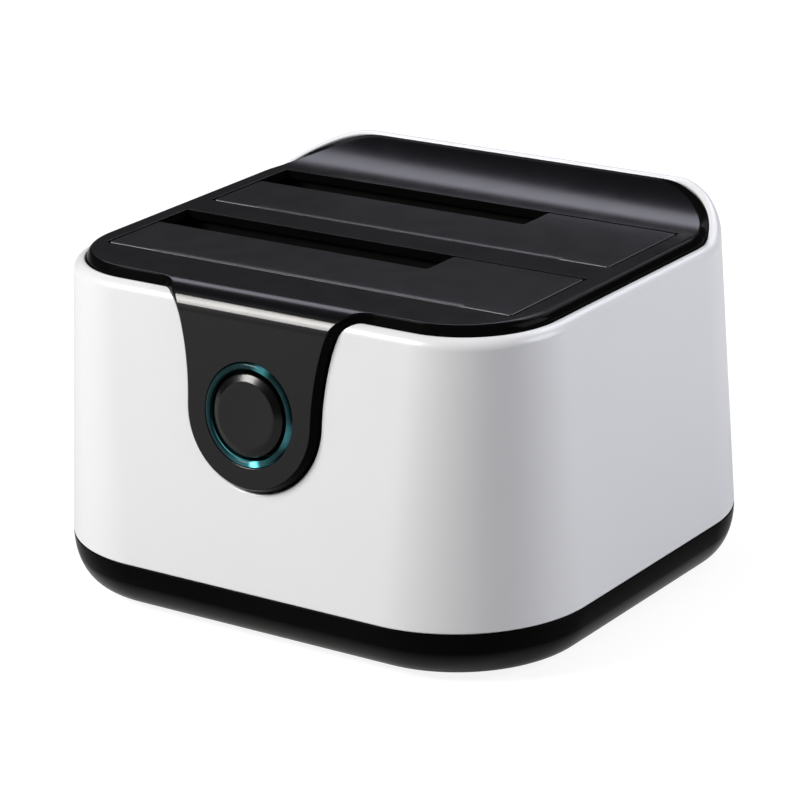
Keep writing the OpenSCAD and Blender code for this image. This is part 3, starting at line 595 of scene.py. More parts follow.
def plain_mesh(obj):
    """Turns an object's modifiers into a plain mesh."""
    graph = bpy.context.evaluated_depsgraph_get()
    made = bpy.data.meshes.new_from_object(obj.evaluated_get(graph), depsgraph=graph)
    old = obj.data
    obj.modifiers.clear()
    obj.data = made
    bpy.data.meshes.remove(old)
    made.name = obj.name


def finish_piece(name, bm, body, materials, replaced, crease=40):
    """Makes a piece of a bmesh, shaded by the size of its faces, and lets it ride on a body."""
    bmesh.ops.remove_doubles(bm, verts=bm.verts, dist=2e-6)
    if bm.calc_volume(signed=True) < 0:
        bmesh.ops.reverse_faces(bm, faces=bm.faces)
    bm.normal_update()
    mesh = bpy.data.meshes.new(name)
    bm.to_mesh(mesh)
    bm.free()
    for material in materials:
        mesh.materials.append(material)
    smooth_faces(mesh, crease)
    obj = put_in(name, mesh)
    shading = obj.modifiers.new("shading", "WEIGHTED_NORMAL")
    shading.mode = "FACE_AREA"
    shading.keep_sharp = True
    plain_mesh(obj)
    settle(obj, body, replaced)


def settle(obj, body, replaced):
    """Lets a plain mesh ride on a body, in place of CAD nodes if there are any."""
    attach(obj, body)
    if replaced:
        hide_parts(*replaced)


def dress(nodes, material):
    """Gives CAD nodes that stay a better finish."""
    for node in nodes:
        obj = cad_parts[node]
        if not obj.material_slots:
            obj.data.materials.append(material)
        for held in obj.material_slots:
            held.material = material


# Pieces that repeat

def times(tree, value, factor):
    """A size times a number."""
    return add(tree, "ShaderNodeMath", {0: value, 1: factor}, operation="MULTIPLY")


def vector(tree, x, y, z):
    """Three sizes as a vector."""
    return add(tree, "ShaderNodeCombineXYZ", {"X": x, "Y": y, "Z": z})


def turned(tree, low, high, radius, form, sides=48):
    """A solid of revolution between two heights; form gives shares of its radius on the way."""
    ends = {"Start": vector(tree, 0, 0, low), "End": vector(tree, 0, 0, high)}
    line = add(tree, "GeometryNodeCurvePrimitiveLine", ends)
    line = add(tree, "GeometryNodeResampleCurve", {"Curve": line, "Count": 28})
    node = tree.nodes.new("ShaderNodeFloatCurve")
    curve = node.mapping.curves[0]
    for k, (share, width) in enumerate(form):
        if k < 2:
            curve.points[k].location = (share, width)
        else:
            curve.points.new(share, width)
    node.mapping.update()
    tree.links.new(add(tree, "GeometryNodeSplineParameter"), node.inputs["Value"])
    ring = add(tree, "GeometryNodeCurvePrimitiveCircle", {"Resolution": sides, "Radius": 1.0})
    scale = times(tree, node.outputs["Value"], radius)
    return add(tree, "GeometryNodeCurveToMesh", {
        "Curve": line, "Profile Curve": ring, "Scale": scale, "Fill Caps": True})


def screw_piece(tree, given):
    """A pan-head screw with a cross recess and a thread, its seat at the origin and its head below."""
    head, high, thin, long = (given[n] for n in ("Head radius", "Head height", "Shaft radius", "Shaft length"))
    below = times(tree, high, -1)
    pan = turned(tree, below, 0.0, head, [(0, 0.62), (0.1, 0.80), (0.3, 0.94), (0.6, 1.0), (1, 1.0)])
    wide, narrow = times(tree, head, 1.1), times(tree, head, 0.26)
    cut = tree.nodes.new("GeometryNodeMeshBoolean")
    cut.solver = "EXACT"
    tree.links.new(pan, cut.inputs["Mesh 1"])
    for x, y in ((wide, narrow), (narrow, wide)):
        arm = add(tree, "GeometryNodeMeshCube", {"Size": vector(tree, x, y, high)})
        arm = add(tree, "GeometryNodeTransform", {"Geometry": arm, "Translation": vector(tree, 0, 0, below)})
        tree.links.new(arm, cut.inputs["Mesh 2"])
    tip = [(0, 1.0), (0.94, 1.0), (1, 0.7)]
    core = turned(tree, times(tree, high, -0.2), long, times(tree, thin, 0.82), tip, 24)
    pitch = times(tree, thin, 0.55)
    rounds = add(tree, "ShaderNodeMath", {0: long, 1: pitch}, operation="DIVIDE")
    path = times(tree, thin, 0.84)
    coil = add(tree, "GeometryNodeCurveSpiral", {
        "Resolution": 20, "Rotations": rounds, "Start Radius": path, "End Radius": path,
        "Height": times(tree, long, 0.93)})
    ridge = add(tree, "GeometryNodeCurvePrimitiveCircle", {"Resolution": 4, "Radius": times(tree, thin, 0.16)})
    thread = add(tree, "GeometryNodeCurveToMesh", {"Curve": coil, "Profile Curve": ridge, "Fill Caps": True})
    whole = tree.nodes.new("GeometryNodeJoinGeometry")
    for part in (cut.outputs["Mesh"], core, thread):
        tree.links.new(part, whole.inputs["Geometry"])
    return whole.outputs["Geometry"]


def foot_piece(tree, given):
    """A rubber foot with a rounded lower edge."""
    form = [(0, 0.90), (0.05, 0.945), (0.14, 0.98), (0.3, 1.0), (1, 1.0)]
    return turned(tree, 0.0, given["Height"], given["Radius"], form, 64)


def contact_piece(tree, given):
    """A sprung contact strip that bows out towards the drive."""
    high = given["Height"]
    bend = add(tree, "GeometryNodeCurveQuadraticBezier", {
        "Resolution": 14, "Start": vector(tree, 0, 0, 0), "End": vector(tree, 0, 0, high),
        "Middle": vector(tree, 0, times(tree, given["Bow"], -2), times(tree, high, 0.6))})
    size = {"Width": given["Width"], "Height": given["Thickness"]}
    strip = add(tree, "GeometryNodeCurvePrimitiveQuadrilateral", size)
    return add(tree, "GeometryNodeCurveToMesh", {"Curve": bend, "Profile Curve": strip, "Fill Caps": True})


def new_tree(name, made, given):
    """A tree with one output of geometry, and the sockets of its named inputs."""
    tree = bpy.data.node_groups.new(name, "GeometryNodeTree")
    tree.interface.new_socket(made, in_out="OUTPUT", socket_type="NodeSocketGeometry")
    for label, kind in given:
        tree.interface.new_socket(label, in_out="INPUT", socket_type="NodeSocket" + kind)
    return tree, tree.nodes.new("NodeGroupInput").outputs


def end_tree(tree, made, finish):
    """Ends a tree with real meshes and their finish."""
    made = add(tree, "GeometryNodeRealizeInstances", {"Geometry": made})
    made = add(tree, "GeometryNodeSetMaterial", {"Geometry": made, "Material": finish})
    tree.links.new(made, tree.nodes.new("NodeGroupOutput").inputs[0])
    return tree


def repeat_tree(name, sizes, piece):
    """A tree that sets a piece out on points, each turned at random."""
    numbers = [(label, "Float") for label in (*sizes, "Turn")]
    given = [("Places", "Geometry"), *numbers, ("Seed", "Int"), ("Finish", "Material")]
    tree, given = new_tree(name, "Pieces", given)
    angle = add(tree, "FunctionNodeRandomValue", {3: given["Turn"], "Seed": given["Seed"]}, 1)
    turn = add(tree, "FunctionNodeEulerToRotation", {"Euler": vector(tree, 0, 0, angle)})
    made = add(tree, "GeometryNodeInstanceOnPoints", {
        "Points": given["Places"], "Instance": piece(tree, given), "Rotation": turn})
    return end_tree(tree, made, given["Finish"])


def wire_tree(name):
    """A tree that runs a round wire along a path of edges."""
    given = [("Path", "Geometry"), ("Wire radius", "Float"), ("Finish", "Material")]
    tree, given = new_tree(name, "Wire", given)
    path = add(tree, "GeometryNodeMeshToCurve", {"Mesh": given["Path"]})
    ring = add(tree, "GeometryNodeCurvePrimitiveCircle", {"Resolution": 12, "Radius": given["Wire radius"]})
    wire = add(tree, "GeometryNodeCurveToMesh", {"Curve": path, "Profile Curve": ring, "Fill Caps": True})
    return end_tree(tree, wire, given["Finish"])


def set_out(name, tree, places, values, replaced, turn=None, body="dock", path=False):
    """Sets the pieces of a tree out on places, or along them, and makes one plain mesh of them."""
    mesh = bpy.data.meshes.new(name)
    mesh.from_pydata(places, [(k, k + 1) for k in range(len(places) - 1)] if path else [], [])
    obj = put_in(name, mesh)
    nodes = obj.modifiers.new("set_out", "NODES")
    nodes.node_group = tree
    for item in tree.interface.items_tree:
        if item.in_out == "INPUT" and item.name in values:
            nodes[item.identifier] = values[item.name]
    plain_mesh(obj)
    if not obj.data.polygons:
        raise RuntimeError("nothing was set out for " + name)
    if turn:
        obj.data.transform(turn)
    smooth_faces(obj.data, 35)
    settle(obj, body, replaced)


class Face:
    """The slanted front: the wall of the sleeve and the tongue's face over it."""

    def __init__(self, dock):
        s, d = dock.sleeve, dock.deck
        self.lean = math.atan((s.low_half_depth - s.edge_half_depth - s.lip_radius) / (s.shoulder - s.seam))
        self.deck = d
        self.z = d.height - d.drop
        self.y = self.face_y(self.z, s)
        self.up = Vector((0, math.sin(self.lean), math.cos(self.lean)))
        self.out = Vector((0, -math.cos(self.lean), math.sin(self.lean)))
        self.tip = self.face_y(d.height, s) + d.nose / math.tan((math.pi / 2 + self.lean) / 2)

    def face_y(self, z, s):
        """Depth of the tongue's face at a height."""
        wall = (z - s.seam) * math.tan(self.lean) - s.low_half_depth
        return wall - self.deck.tongue_proud / math.cos(self.lean)

    def height_of(self, point):
        """How far a point lies up the face from the button's centre."""
        return (point.y - self.y) * self.up.y + (point.z - self.z) * self.up.z

    def half(self, h):
        """Half the tongue's width at this height."""
        d = self.deck
        if h < 0:
            return math.sqrt(max(d.tongue ** 2 - h * h, 0))
        share = h / d.drop
        return d.tongue + d.flare * share ** 2 + d.kick * share ** 10

    def outline(self, place, low, high, grow, steps, corner, end):
        """Right half of the tongue's outline, grown, with a soft corner where it turns towards its end."""
        side = []
        for k in range(steps + 1):
            t = low + (high - low) * k / steps
            side.append((self.half(self.height_of(place(0, t)[0])) + grow, t))
        bow = arc(0, low, self.deck.tongue + grow, -90, 0, 30, False)
        return bow + side[:-6] + soften([side[-6], side[-1], end], [0, corner, 0], closed=False)

    def frame(self):
        """Placing matrix with its Z out of the face at the button's centre."""
        m = Matrix((X_AXIS, self.up, self.out)).transposed().to_4x4()
        m.translation = Vector((0, self.y, self.z))
        return m


def rear_turn(out_y):
    """How far an outward direction has turned from the side to the back, as a share."""
    return math.asin(min(max(out_y, 0), 1)) / (math.pi / 2)


def by_turn(share, values):
    """Smooth value at a turn, from values at equal steps from the side to the back."""
    last = len(values) - 1
    k = min(int(share * last), last - 1)
    f = share * last - k
    a, b, c, d = (values[min(max(k + i, 0), last)] for i in (-1, 0, 1, 2))
    return b + f * ((c - a) + f * ((2 * a - 5 * b + 4 * c - d) + f * (3 * (b - c) + d - a))) / 2


# At equal steps of the turn from the side to the back: shares of the lip's sweep, its tilt and the rim's width
LIP_RISE = (0.0, 0.035, 0.315, 0.58, 0.807, 0.955, 1.0)
LIP_TILT = (0.0, 0.05, 0.15, 0.35, 0.65, 0.80, 0.60)
RIM_SHARE = (0.95, 0.95, 0.95, 1.0, 0.90, 0.73, 0.54)
# Share of the rim's width along the front
FRONT_RIM_SHARE = 0.47
# Half the width of the flat patches at the front and the back
PATCH = 0.029


def plan(half_w, half_d, radius, steps, patch):
    """Columns round a rounded rectangle: place and outward direction."""
    def corner(sx, sy, start):
        cx, cy = sx * (half_w - radius), sy * (half_d - radius)
        for k in range(steps + 1):
            a = math.radians(start + 90 * k / steps)
            yield cx + radius * math.cos(a), cy + radius * math.sin(a), math.cos(a), math.sin(a)
    out = [(patch, -half_d, 0, -1), *corner(1, -1, -90), *corner(1, 1, 0), (patch, half_d, 0, 1)]
    return out + [(-patch, half_d, 0, 1), *corner(-1, 1, 90), *corner(-1, -1, 180), (-patch, -half_d, 0, -1)]


class SleeveOperator(bpy.types.Operator):
    """Make the white sleeve with its rounded lip, front notch and socket openings"""

    bl_idname = "dock.make_sleeve"
    bl_label = "Sleeve"

    wall_steps = 8
    lip_steps = 12
    notch_steps = 28
    notch_corner = 0.0022
    port_room = 0.00035
    port_corner = 0.0008

    def rows(self, dock, low, top):
        """Places, tangents and normals up one column of the outside."""
        s = dock.sleeve
        n = Vector((top[2], top[3], 0))
        foot = Vector((low[0], low[1], s.seam))
        turned = rear_turn(top[3])
        tilt = s.tilt * by_turn(turned, LIP_TILT)
        centre = Vector((top[0], top[1], s.shoulder + s.sweep * by_turn(turned, LIP_RISE)))
        lean = math.atan2((foot - centre).dot(n) - s.lip_radius, centre.z + tilt - foot.z)
        start = centre + (n * math.cos(lean) + UP * math.sin(lean)) * s.lip_radius + UP * tilt * math.cos(lean)
        up = (start - foot).normalized()
        normal = n * math.cos(lean) + UP * math.sin(lean)
        first = s.soft_edge / (start - foot).length
        out = []
        for k in range(self.wall_steps):
            share = first + (1 - first) * k / self.wall_steps
            out.append((foot.lerp(start, share), up, normal))
        last = math.pi / 2 - s.soft_edge / s.lip_radius
        for k in range(self.lip_steps + 1):
            a = lean + (last - lean) * k / self.lip_steps
            out_by, up_by = s.lip_radius * math.cos(a), s.lip_radius * math.sin(a)
            at = centre + n * s.lip_radius * math.cos(a) + UP * (up_by + tilt * math.cos(a))
            climb = Vector((-up_by, out_by - tilt * math.sin(a))).normalized()
            out.append((at, n * climb.x + UP * climb.y, n * climb.y - UP * climb.x))
        return out

    def cut_edge(self, s):
        """Steps over a cut edge of the wall."""
        return round_rows(s.soft_edge, math.pi / 2) + [(s.soft_edge, s.wall)]

    def section(self, dock, rows):
        """Closed cross-section of the wall along one column."""
        s = dock.sleeve
        edge = self.cut_edge(s)
        (p0, t0, n0), (p1, t1, n1) = rows[0], rows[-1]
        foot = [p0 - t0 * o - n0 * d for o, d in reversed(edge)]
        head = [p1 + t1 * o - n1 * d for o, d in edge]
        inner = [p - n * s.wall for p, t, n in reversed(rows[1:-1])]
        return foot + [p for p, t, n in rows] + head + inner

    def patch(self, bm, dock, rows, side, outline):
        """Fills the front or the back, whose outline runs between the corners of the patch."""
        s = dock.sleeve
        levels = [0.0]
        for a, b in zip(rows, rows[1:]):
            levels.append(levels[-1] + (b[0] - a[0]).length)
        along = X_AXIS * side

        def place(u, t):
            k = max(i for i in range(len(levels) - 1) if levels[i] <= max(t, 0))
            share = (t - levels[k]) / (levels[k + 1] - levels[k])
            (pa, ta, na), (pb, tb, nb) = rows[k], rows[k + 1]
            at = pa.lerp(pb, share)
            at.x = u * side
            share = min(max(share, 0), 1)
            return at, along, ta.lerp(tb, share).normalized(), na.lerp(nb, share).normalized()

        edge = self.cut_edge(s)
        path = outline(levels, place)
        loop = []
        for (x, t), o in zip(path, outward(path)):
            if abs(abs(x) - PATCH) < 1e-9:
                if t < 0:
                    loop.append((x, 0.0, 0.0, -1.0, edge))
                elif t > levels[-1]:
                    loop.append((x, levels[-1], 0.0, 1.0, edge))
                else:
                    loop.append((x, t, 0.0, 0.0, None))
            else:
                loop.append((x - o.x * s.soft_edge, t - o.y * s.soft_edge, o.x, o.y, edge))
        sheet(bm, [loop], place, s.wall, levels[self.wall_steps:])

    def execute(self, context):
        dock = context.scene.dock
        s, d = dock.sleeve, dock.deck
        steps = dock.stage.corner_steps
        face = Face(dock)
        low = plan(s.low_half_width, s.low_half_depth, s.low_radius, steps, PATCH)
        top = plan(s.edge_half_width, s.edge_half_depth, s.edge_radius, steps, PATCH)
        rows = [self.rows(dock, a, b) for a, b in zip(low, top)]
        bm = bmesh.new()
        half = len(rows) // 2
        grid(bm, [self.section(dock, r) for r in rows], skip=(half - 1, len(rows) - 1))

        def notch(levels, place):
            end = levels[-1] + s.soft_edge
            grow = d.tongue_edge + d.tongue_gap
            base = -face.height_of(place(0, 0)[0])
            path = face.outline(place, base, end, grow, self.notch_steps, self.notch_corner, (PATCH, end))
            path += [(PATCH, t) for t in reversed(levels[1:-1])] + [(PATCH, -s.soft_edge)]
            left = [(-x, t) for x, t in reversed(path[1:])]
            return (path + left)[::-1]

        def ports(levels, place):
            end = levels[-1] + s.soft_edge
            path = [(-PATCH, -s.soft_edge)]
            legs = [0]
            for node in ("power_jack", "data_port_shell"):
                lo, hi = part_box(node)
                left, right = -hi.x - self.port_room, -lo.x + self.port_room
                t = (hi.z + self.port_room - s.seam) / place(0, 0)[2].z - s.soft_edge
                path += [(left, -s.soft_edge), (left, t), (right, t), (right, -s.soft_edge)]
                legs += [self.port_corner] * 4
            path = soften(path + [(PATCH, -s.soft_edge)], legs + [0], closed=False)
            path += [(PATCH, t) for t in levels[1:-1]] + [(PATCH, end), (-PATCH, end)]
            return path + [(-PATCH, t) for t in reversed(levels[1:-1])]

        self.patch(bm, dock, rows[0], 1, notch)
        self.patch(bm, dock, rows[half], -1, ports)
        white = moulded("gloss_white_abs", dock.colours.white, 0.30, 0.006, grain_depth=0, coat=0.2,
                        coat_rough=0.12)
        finish_piece("sleeve_skin", bm, "dock", [white], ["outer_shell"])
        return {"FINISHED"}


class DeckOperator(bpy.types.Operator):
    """Make the black deck with its slots, swept back and folded tongue"""

    bl_idname = "dock.make_deck"
    bl_label = "Deck"

    rim_soft = 0.00032
    roll_fade, front_crisp = 0.4, 0.85
    skirt_down = 0.0022
    skirt_wide = 0.0013
    tongue_from, tongue_fade = -0.050, 0.010
    tongue_rim = 0.00124
    tongue_steps = 32
    tongue_corner = 0.0026
    slot_corner, slot_edge = 0.0006, 0.0001
    ring_gap, ring_hole_edge = 0.0002, 0.00025
    nose_steps, rise_steps = 14, 18
    gloss_row = 2

    def execute(self, context):
        dock = context.scene.dock
        s, d, b = dock.sleeve, dock.deck, dock.button
        face = Face(dock)
        run = s.edge_half_depth - d.sweep_start
        cove = (run ** 2 + d.sweep ** 2) / (2 * d.sweep)
        turn = math.pi / 2 - face.lean
        roll = d.nose * turn

        def place(x, t):
            if t > d.sweep_start:
                a = (t - d.sweep_start) / cove
                at = Vector((x, d.sweep_start + cove * math.sin(a), d.height + cove * (1 - math.cos(a))))
            elif t >= face.tip:
                a = 0
                at = Vector((x, t, d.height))
            else:
                a = min(face.tip - t, roll) / d.nose
                at = Vector((x, face.tip - d.nose * math.sin(a), d.height - d.nose * (1 - math.cos(a))))
                at -= face.up * max(face.tip - t - roll, 0)
            up = Vector((0, math.cos(a), math.sin(a)))
            return at, X_AXIS, up, Vector((0, -math.sin(a), math.cos(a)))

        def unrolled(y):
            if y <= d.sweep_start:
                return y
            return d.sweep_start + cove * math.asin((y - d.sweep_start) / cove)

        centre = face.tip - roll - face.height_of(place(0, face.tip - roll)[0])
        front = d.gap - s.edge_half_depth
        steps = dock.stage.corner_steps
        r = s.edge_radius - d.gap
        cx, cy = s.edge_half_width - s.edge_radius, s.edge_half_depth - s.edge_radius
        right = face.outline(place, centre, front, d.tongue_edge, self.tongue_steps, self.tongue_corner,
                             (cx, front))[:-1]
        right += arc(cx, -cy, r, -90, 0, steps)
        right += [(x, unrolled(y)) for x, y in arc(cx, cy, r, 0, 90, steps)]
        foot = right + [(-x, t) for x, t in reversed(right[1:])]
        rim = []
        for (x, t), o in zip(foot, outward(foot)):
            on_tongue = smooth((self.tongue_from - t) / self.tongue_fade)
            turned = rear_turn(o.y)
            ahead = smooth(rear_turn(-o.y))
            inset = d.rim_width * (by_turn(turned, RIM_SHARE) + (FRONT_RIM_SHARE - RIM_SHARE[0]) * ahead)
            inset += (self.tongue_rim - inset) * on_tongue
            x0, t0 = x - o.x * inset, t - o.y * inset
            w, h = inset, d.edge_down + (d.tongue_proud - d.edge_down) * on_tongue
            if t > 0:
                at, across, up, normal = place(x0, t0)
                edge = place(x, t)[0]
                edge.z = d.height - d.edge_down + s.sweep * by_turn(turned, LIP_RISE)
                w, h = (edge - at).dot(across * o.x + up * o.y), (at - edge).dot(normal)
            soft = self.rim_soft
            lean = math.atan2(h, w)
            for k in range(4):
                lean = math.atan2(h - soft * (1 - math.cos(lean)), w - soft * math.sin(lean))
            bend = round_rows(soft, lean)
            out, down = bend[-1]
            bend += [(out + (w - out) * k / 4, down + (h - down) * k / 4) for k in range(1, 5)]
            rolled = (1 - on_tongue) * (1 - smooth(turned / self.roll_fade)) * (1 - self.front_crisp * ahead)
            rows = [(o0 + (w * math.sin(a) - o0) * rolled, d0 + (h * (1 - math.cos(a)) - d0) * rolled)
                    for (o0, d0), a in zip(bend, (math.pi / 2 * k / 8 for k in range(1, 9)))]
            skirt, inside = h + self.skirt_down, w - self.skirt_wide
            rows += [(w, skirt), (inside, skirt), (inside, d.thick)]
            rim.append((x0, t0, o.x, o.y, rows))
        loops = [rim]
        for k in range(2):
            y0 = d.front_slot + d.pitch * k
            hole = soften([(-d.slot_half, y0), (-d.slot_half, y0 + d.slot_depth),
                           (d.slot_half, y0 + d.slot_depth), (d.slot_half, y0)], self.slot_corner, 6)
            loops.append(plain_edge(hole, self.slot_edge, d.thick))
        eye = circle(0, centre, b.ring + self.ring_gap, 72)
        loops.append(plain_edge(eye, self.ring_hole_edge, d.thick))
        nose = [face.tip - roll * k / self.nose_steps for k in range(self.nose_steps + 1)]
        climb = unrolled(s.edge_half_depth) - d.sweep_start
        rises = [d.sweep_start + climb * k / self.rise_steps for k in range(self.rise_steps)]
        bm = bmesh.new()
        sheet(bm, loops, place, d.thick, sorted(nose + rises), self.gloss_row)
        black = moulded("satin_black_deck", dock.colours.black, 0.20, 0.10, 3000, 0.6e-6, shine=0.34)
        rim_gloss = moulded("gloss_black_rim", dock.colours.gloss, 0.16, 0.10, 900, 0.5e-6, shine=0.02)
        finish_piece("deck_skin", bm, "dock", [black, rim_gloss], ["top_cover"])
        return {"FINISHED"}


class DoorsOperator(bpy.types.Operator):
    """Make both flap doors with their barrels, arms and stop tabs"""

    bl_idname = "dock.make_doors"
    bl_label = "Flap doors"

    soft = 0.00028
    corner, inner_corner = 0.0006, 0.0004
    hinge_roll, hinge_slope = 0.009, math.radians(9)
    roll_end = 0.0008
    chamfer = 0.0002
    arm_root, arm_reach, arm_deep = 0.0009, 0.005, 0.001
    arm_under, arm_back, arm_step, arm_drop = 0.0011, 0.0012, 0.0005, 0.0006
    tab_in, tab_deep, tab_thick = 0.006, 0.002, 0.0015
    tab_gap, tab_root, tab_reach = 0.0003, 0.0006, 0.0011

    def execute(self, context):
        dock = context.scene.dock
        d, o = dock.deck, dock.doors
        black = moulded("satin_black_door", dock.colours.black, 0.25, 0.10, 3000, 0.8e-6, shine=0.4)
        for k, name in enumerate(("front_door", "rear_door")):
            y0 = d.front_slot + d.pitch * k
            y1 = y0 + d.slot_depth
            left, right = o.gap - d.slot_half, d.slot_half - o.gap
            inner_x, inner_y = o.notch_width - d.slot_half, y1 - o.notch_depth
            rolled = o.barrel_end - self.roll_end
            path = [(x, y0 + o.gap) for x in (left, -o.barrel_end, -rolled, rolled, o.barrel_end, right)]
            path += [(right, y1 - o.gap), (inner_x, y1 - o.gap), (inner_x, inner_y), (left, inner_y)]
            cut = self.corner
            path = soften(path, [cut, 0, 0, 0, 0, cut, cut, cut, self.inner_corner, cut], 5)
            soft, slope = self.soft, self.hinge_slope
            roll = round_rows(self.hinge_roll, slope, 3)
            for e in (slope + (math.pi / 2 - slope) * i / 3 for i in range(1, 4)):
                roll.append((roll[2][0] + soft * (math.sin(e) - math.sin(slope)),
                             roll[2][1] + soft * (math.cos(slope) - math.cos(e))))
            roll.append((roll[-1][0], o.thick))
            loop = []
            for (x, y), edge in zip(path, plain_edge(path, soft, o.thick, 6)):
                hinge_edge = abs(y - y0 - o.gap) < 1e-6 and abs(x) < o.barrel_end - self.roll_end / 2
                loop.append((x, y + roll[-1][0], 0, -1, roll) if hinge_edge else edge)
            bm = bmesh.new()
            sheet(bm, [loop], lambda u, t: (
                Vector((u, t, d.height)), X_AXIS, Vector((0, 1, 0)), UP), o.thick)
            hinge_y = y0 - o.hinge_back
            for side in (-1, 1):
                middle = side * (o.barrel_end - o.barrel_length / 2)
                place = Matrix.Translation((middle, hinge_y, o.hinge_height))
                half, cut = o.barrel_length / 2, self.chamfer
                lathe(bm, [(o.bore, -half), (o.barrel - cut, -half), (o.barrel, cut - half),
                           (o.barrel, half - cut), (o.barrel - cut, half), (o.bore, half)],
                      place @ Matrix.Rotation(math.pi / 2, 4, "Y"), 40)
                low = d.height - o.thick
                root, reach, deep = hinge_y + self.arm_root, y0 + self.arm_reach, low + self.arm_deep
                edge = y0 + o.gap
                arm = [(root, o.hinge_height - self.arm_under), (reach, low), (reach, deep),
                       (edge + self.arm_back, deep), (edge, low - self.arm_step), (root, low - self.arm_drop)]
                ends = [[bm.verts.new((middle + e * half, y, z)) for y, z in arm] for e in (-1, 1)]
                bm.faces.new(ends[0][::-1])
                bm.faces.new(ends[1])
                for i in range(len(arm)):
                    j = (i + 1) % len(arm)
                    bm.faces.new((ends[0][i], ends[0][j], ends[1][j], ends[1][i]))
            low = d.height - d.thick - self.tab_gap
            start = (inner_x + self.tab_in, y1 - o.gap - self.tab_deep, low - self.tab_thick)
            block(bm, start, (right - self.tab_in, y1 - o.gap, low + self.tab_root))
            block(bm, start, (right - self.tab_in, y1 + self.tab_reach, low))
            finish_piece(name + "_skin", bm, name, [black], [name])
        return {"FINISHED"}


def base_screw_places(b):
    """Where the base's screws stand."""
    return [(side * x, y) for x, y in ((b.front_screw_x, b.front_screw_y), (b.rear_screw_x, b.rear_screw_y))
            for side in (-1, 1)]


class BaseOperator(bpy.types.Operator):
    """Make the gloss black base that tucks in towards the table"""

    bl_idname = "dock.make_base"
    bl_label = "Base"

    soft = 0.00012
    seam_gap = 0.0001
    rim_wall, low_wall, low_height = 0.0022, 0.0034, 0.007
    foot_gap, bore_gap, hole_edge = 0.00015, 0.0002, 0.0002
    pocket_wall, pocket_lap = 0.0008, 0.0003
    seat_wall, seat_thick, seat_lap, seat_gap = 0.001, 0.0012, 0.0004, 0.00005
    shine_low, shine_high = 0.0010, 0.0060

    def execute(self, context):
        dock = context.scene.dock
        s, b = dock.sleeve, dock.base
        soft = self.soft
        top = s.seam - self.seam_gap
        high = top - soft - b.bottom
        rows = []
        for k in range(19):
            a = math.pi / 2 * (1 - k / 18)
            rows.append((-b.tuck * (1 - math.cos(a)), b.bottom + high * (1 - math.sin(a))))
        rows += [(-soft * (1 - math.cos(a)), top - soft + soft * math.sin(a))
                 for a in (math.pi / 2 * k / 4 for k in range(1, 5))]
        rows += [(-self.rim_wall, top), (-self.low_wall, self.low_height), (-b.tuck, b.bottom + b.floor)]
        columns = plan(s.low_half_width, s.low_half_depth, s.low_radius, dock.stage.corner_steps, PATCH)
        bm = bmesh.new()
        grid(bm, [[Vector((x + nx * g, y + ny * g, z)) for g, z in rows] for x, y, nx, ny in columns],
             closed=False)
        rim = [(-x + nx * b.tuck, y - ny * b.tuck, 0, 0, None) for x, y, nx, ny in columns][::-1]
        loops = [rim]
        holes = [(sx * b.foot_x, sy * b.foot_y, b.foot + self.foot_gap)
                 for sx in (-1, 1) for sy in (-1, 1)]
        holes += [(x, y, b.screw_hole) for x, y in base_screw_places(b)]
        for x, y, r in holes:
            loops.append(plain_edge(circle(x, y, r, 48), self.hole_edge, b.floor))
        sheet(bm, loops, lambda u, t: (
            Vector((-u, t, b.bottom)), -X_AXIS, Vector((0, 1, 0)), -UP), b.floor)
        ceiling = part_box("feet")[1].z
        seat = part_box("base_screws")[0].z + dock.fixings.base_head_high
        above = b.bottom + b.floor
        for x, y, r in holes:
            place = Matrix.Translation((x, y, 0))
            if r > b.foot:
                wide, high = r + self.pocket_wall, above + self.pocket_lap
                profile = [(0, ceiling), (wide, ceiling), (wide, high), (0, high)]
            else:
                inner, outer = r + self.seat_gap, r + self.seat_wall
                bore = dock.fixings.base_shaft + self.bore_gap
                low, high = above - self.seat_lap, seat + self.seat_thick
                profile = [(inner, low), (outer, low), (outer, high), (bore, high), (bore, seat), (inner, seat)]
            lathe(bm, profile, place, 48)
        black = moulded("gloss_black_base", dock.colours.gloss, 0.20, 0.15, 900, 1.0e-6, shine=0.06)
        by_height(black, b.bottom + self.shine_low, b.bottom + self.shine_high, 0.50, 0.02)
        finish_piece("base_skin", bm, "dock", [black], ["base_cover"])
        return {"FINISHED"}


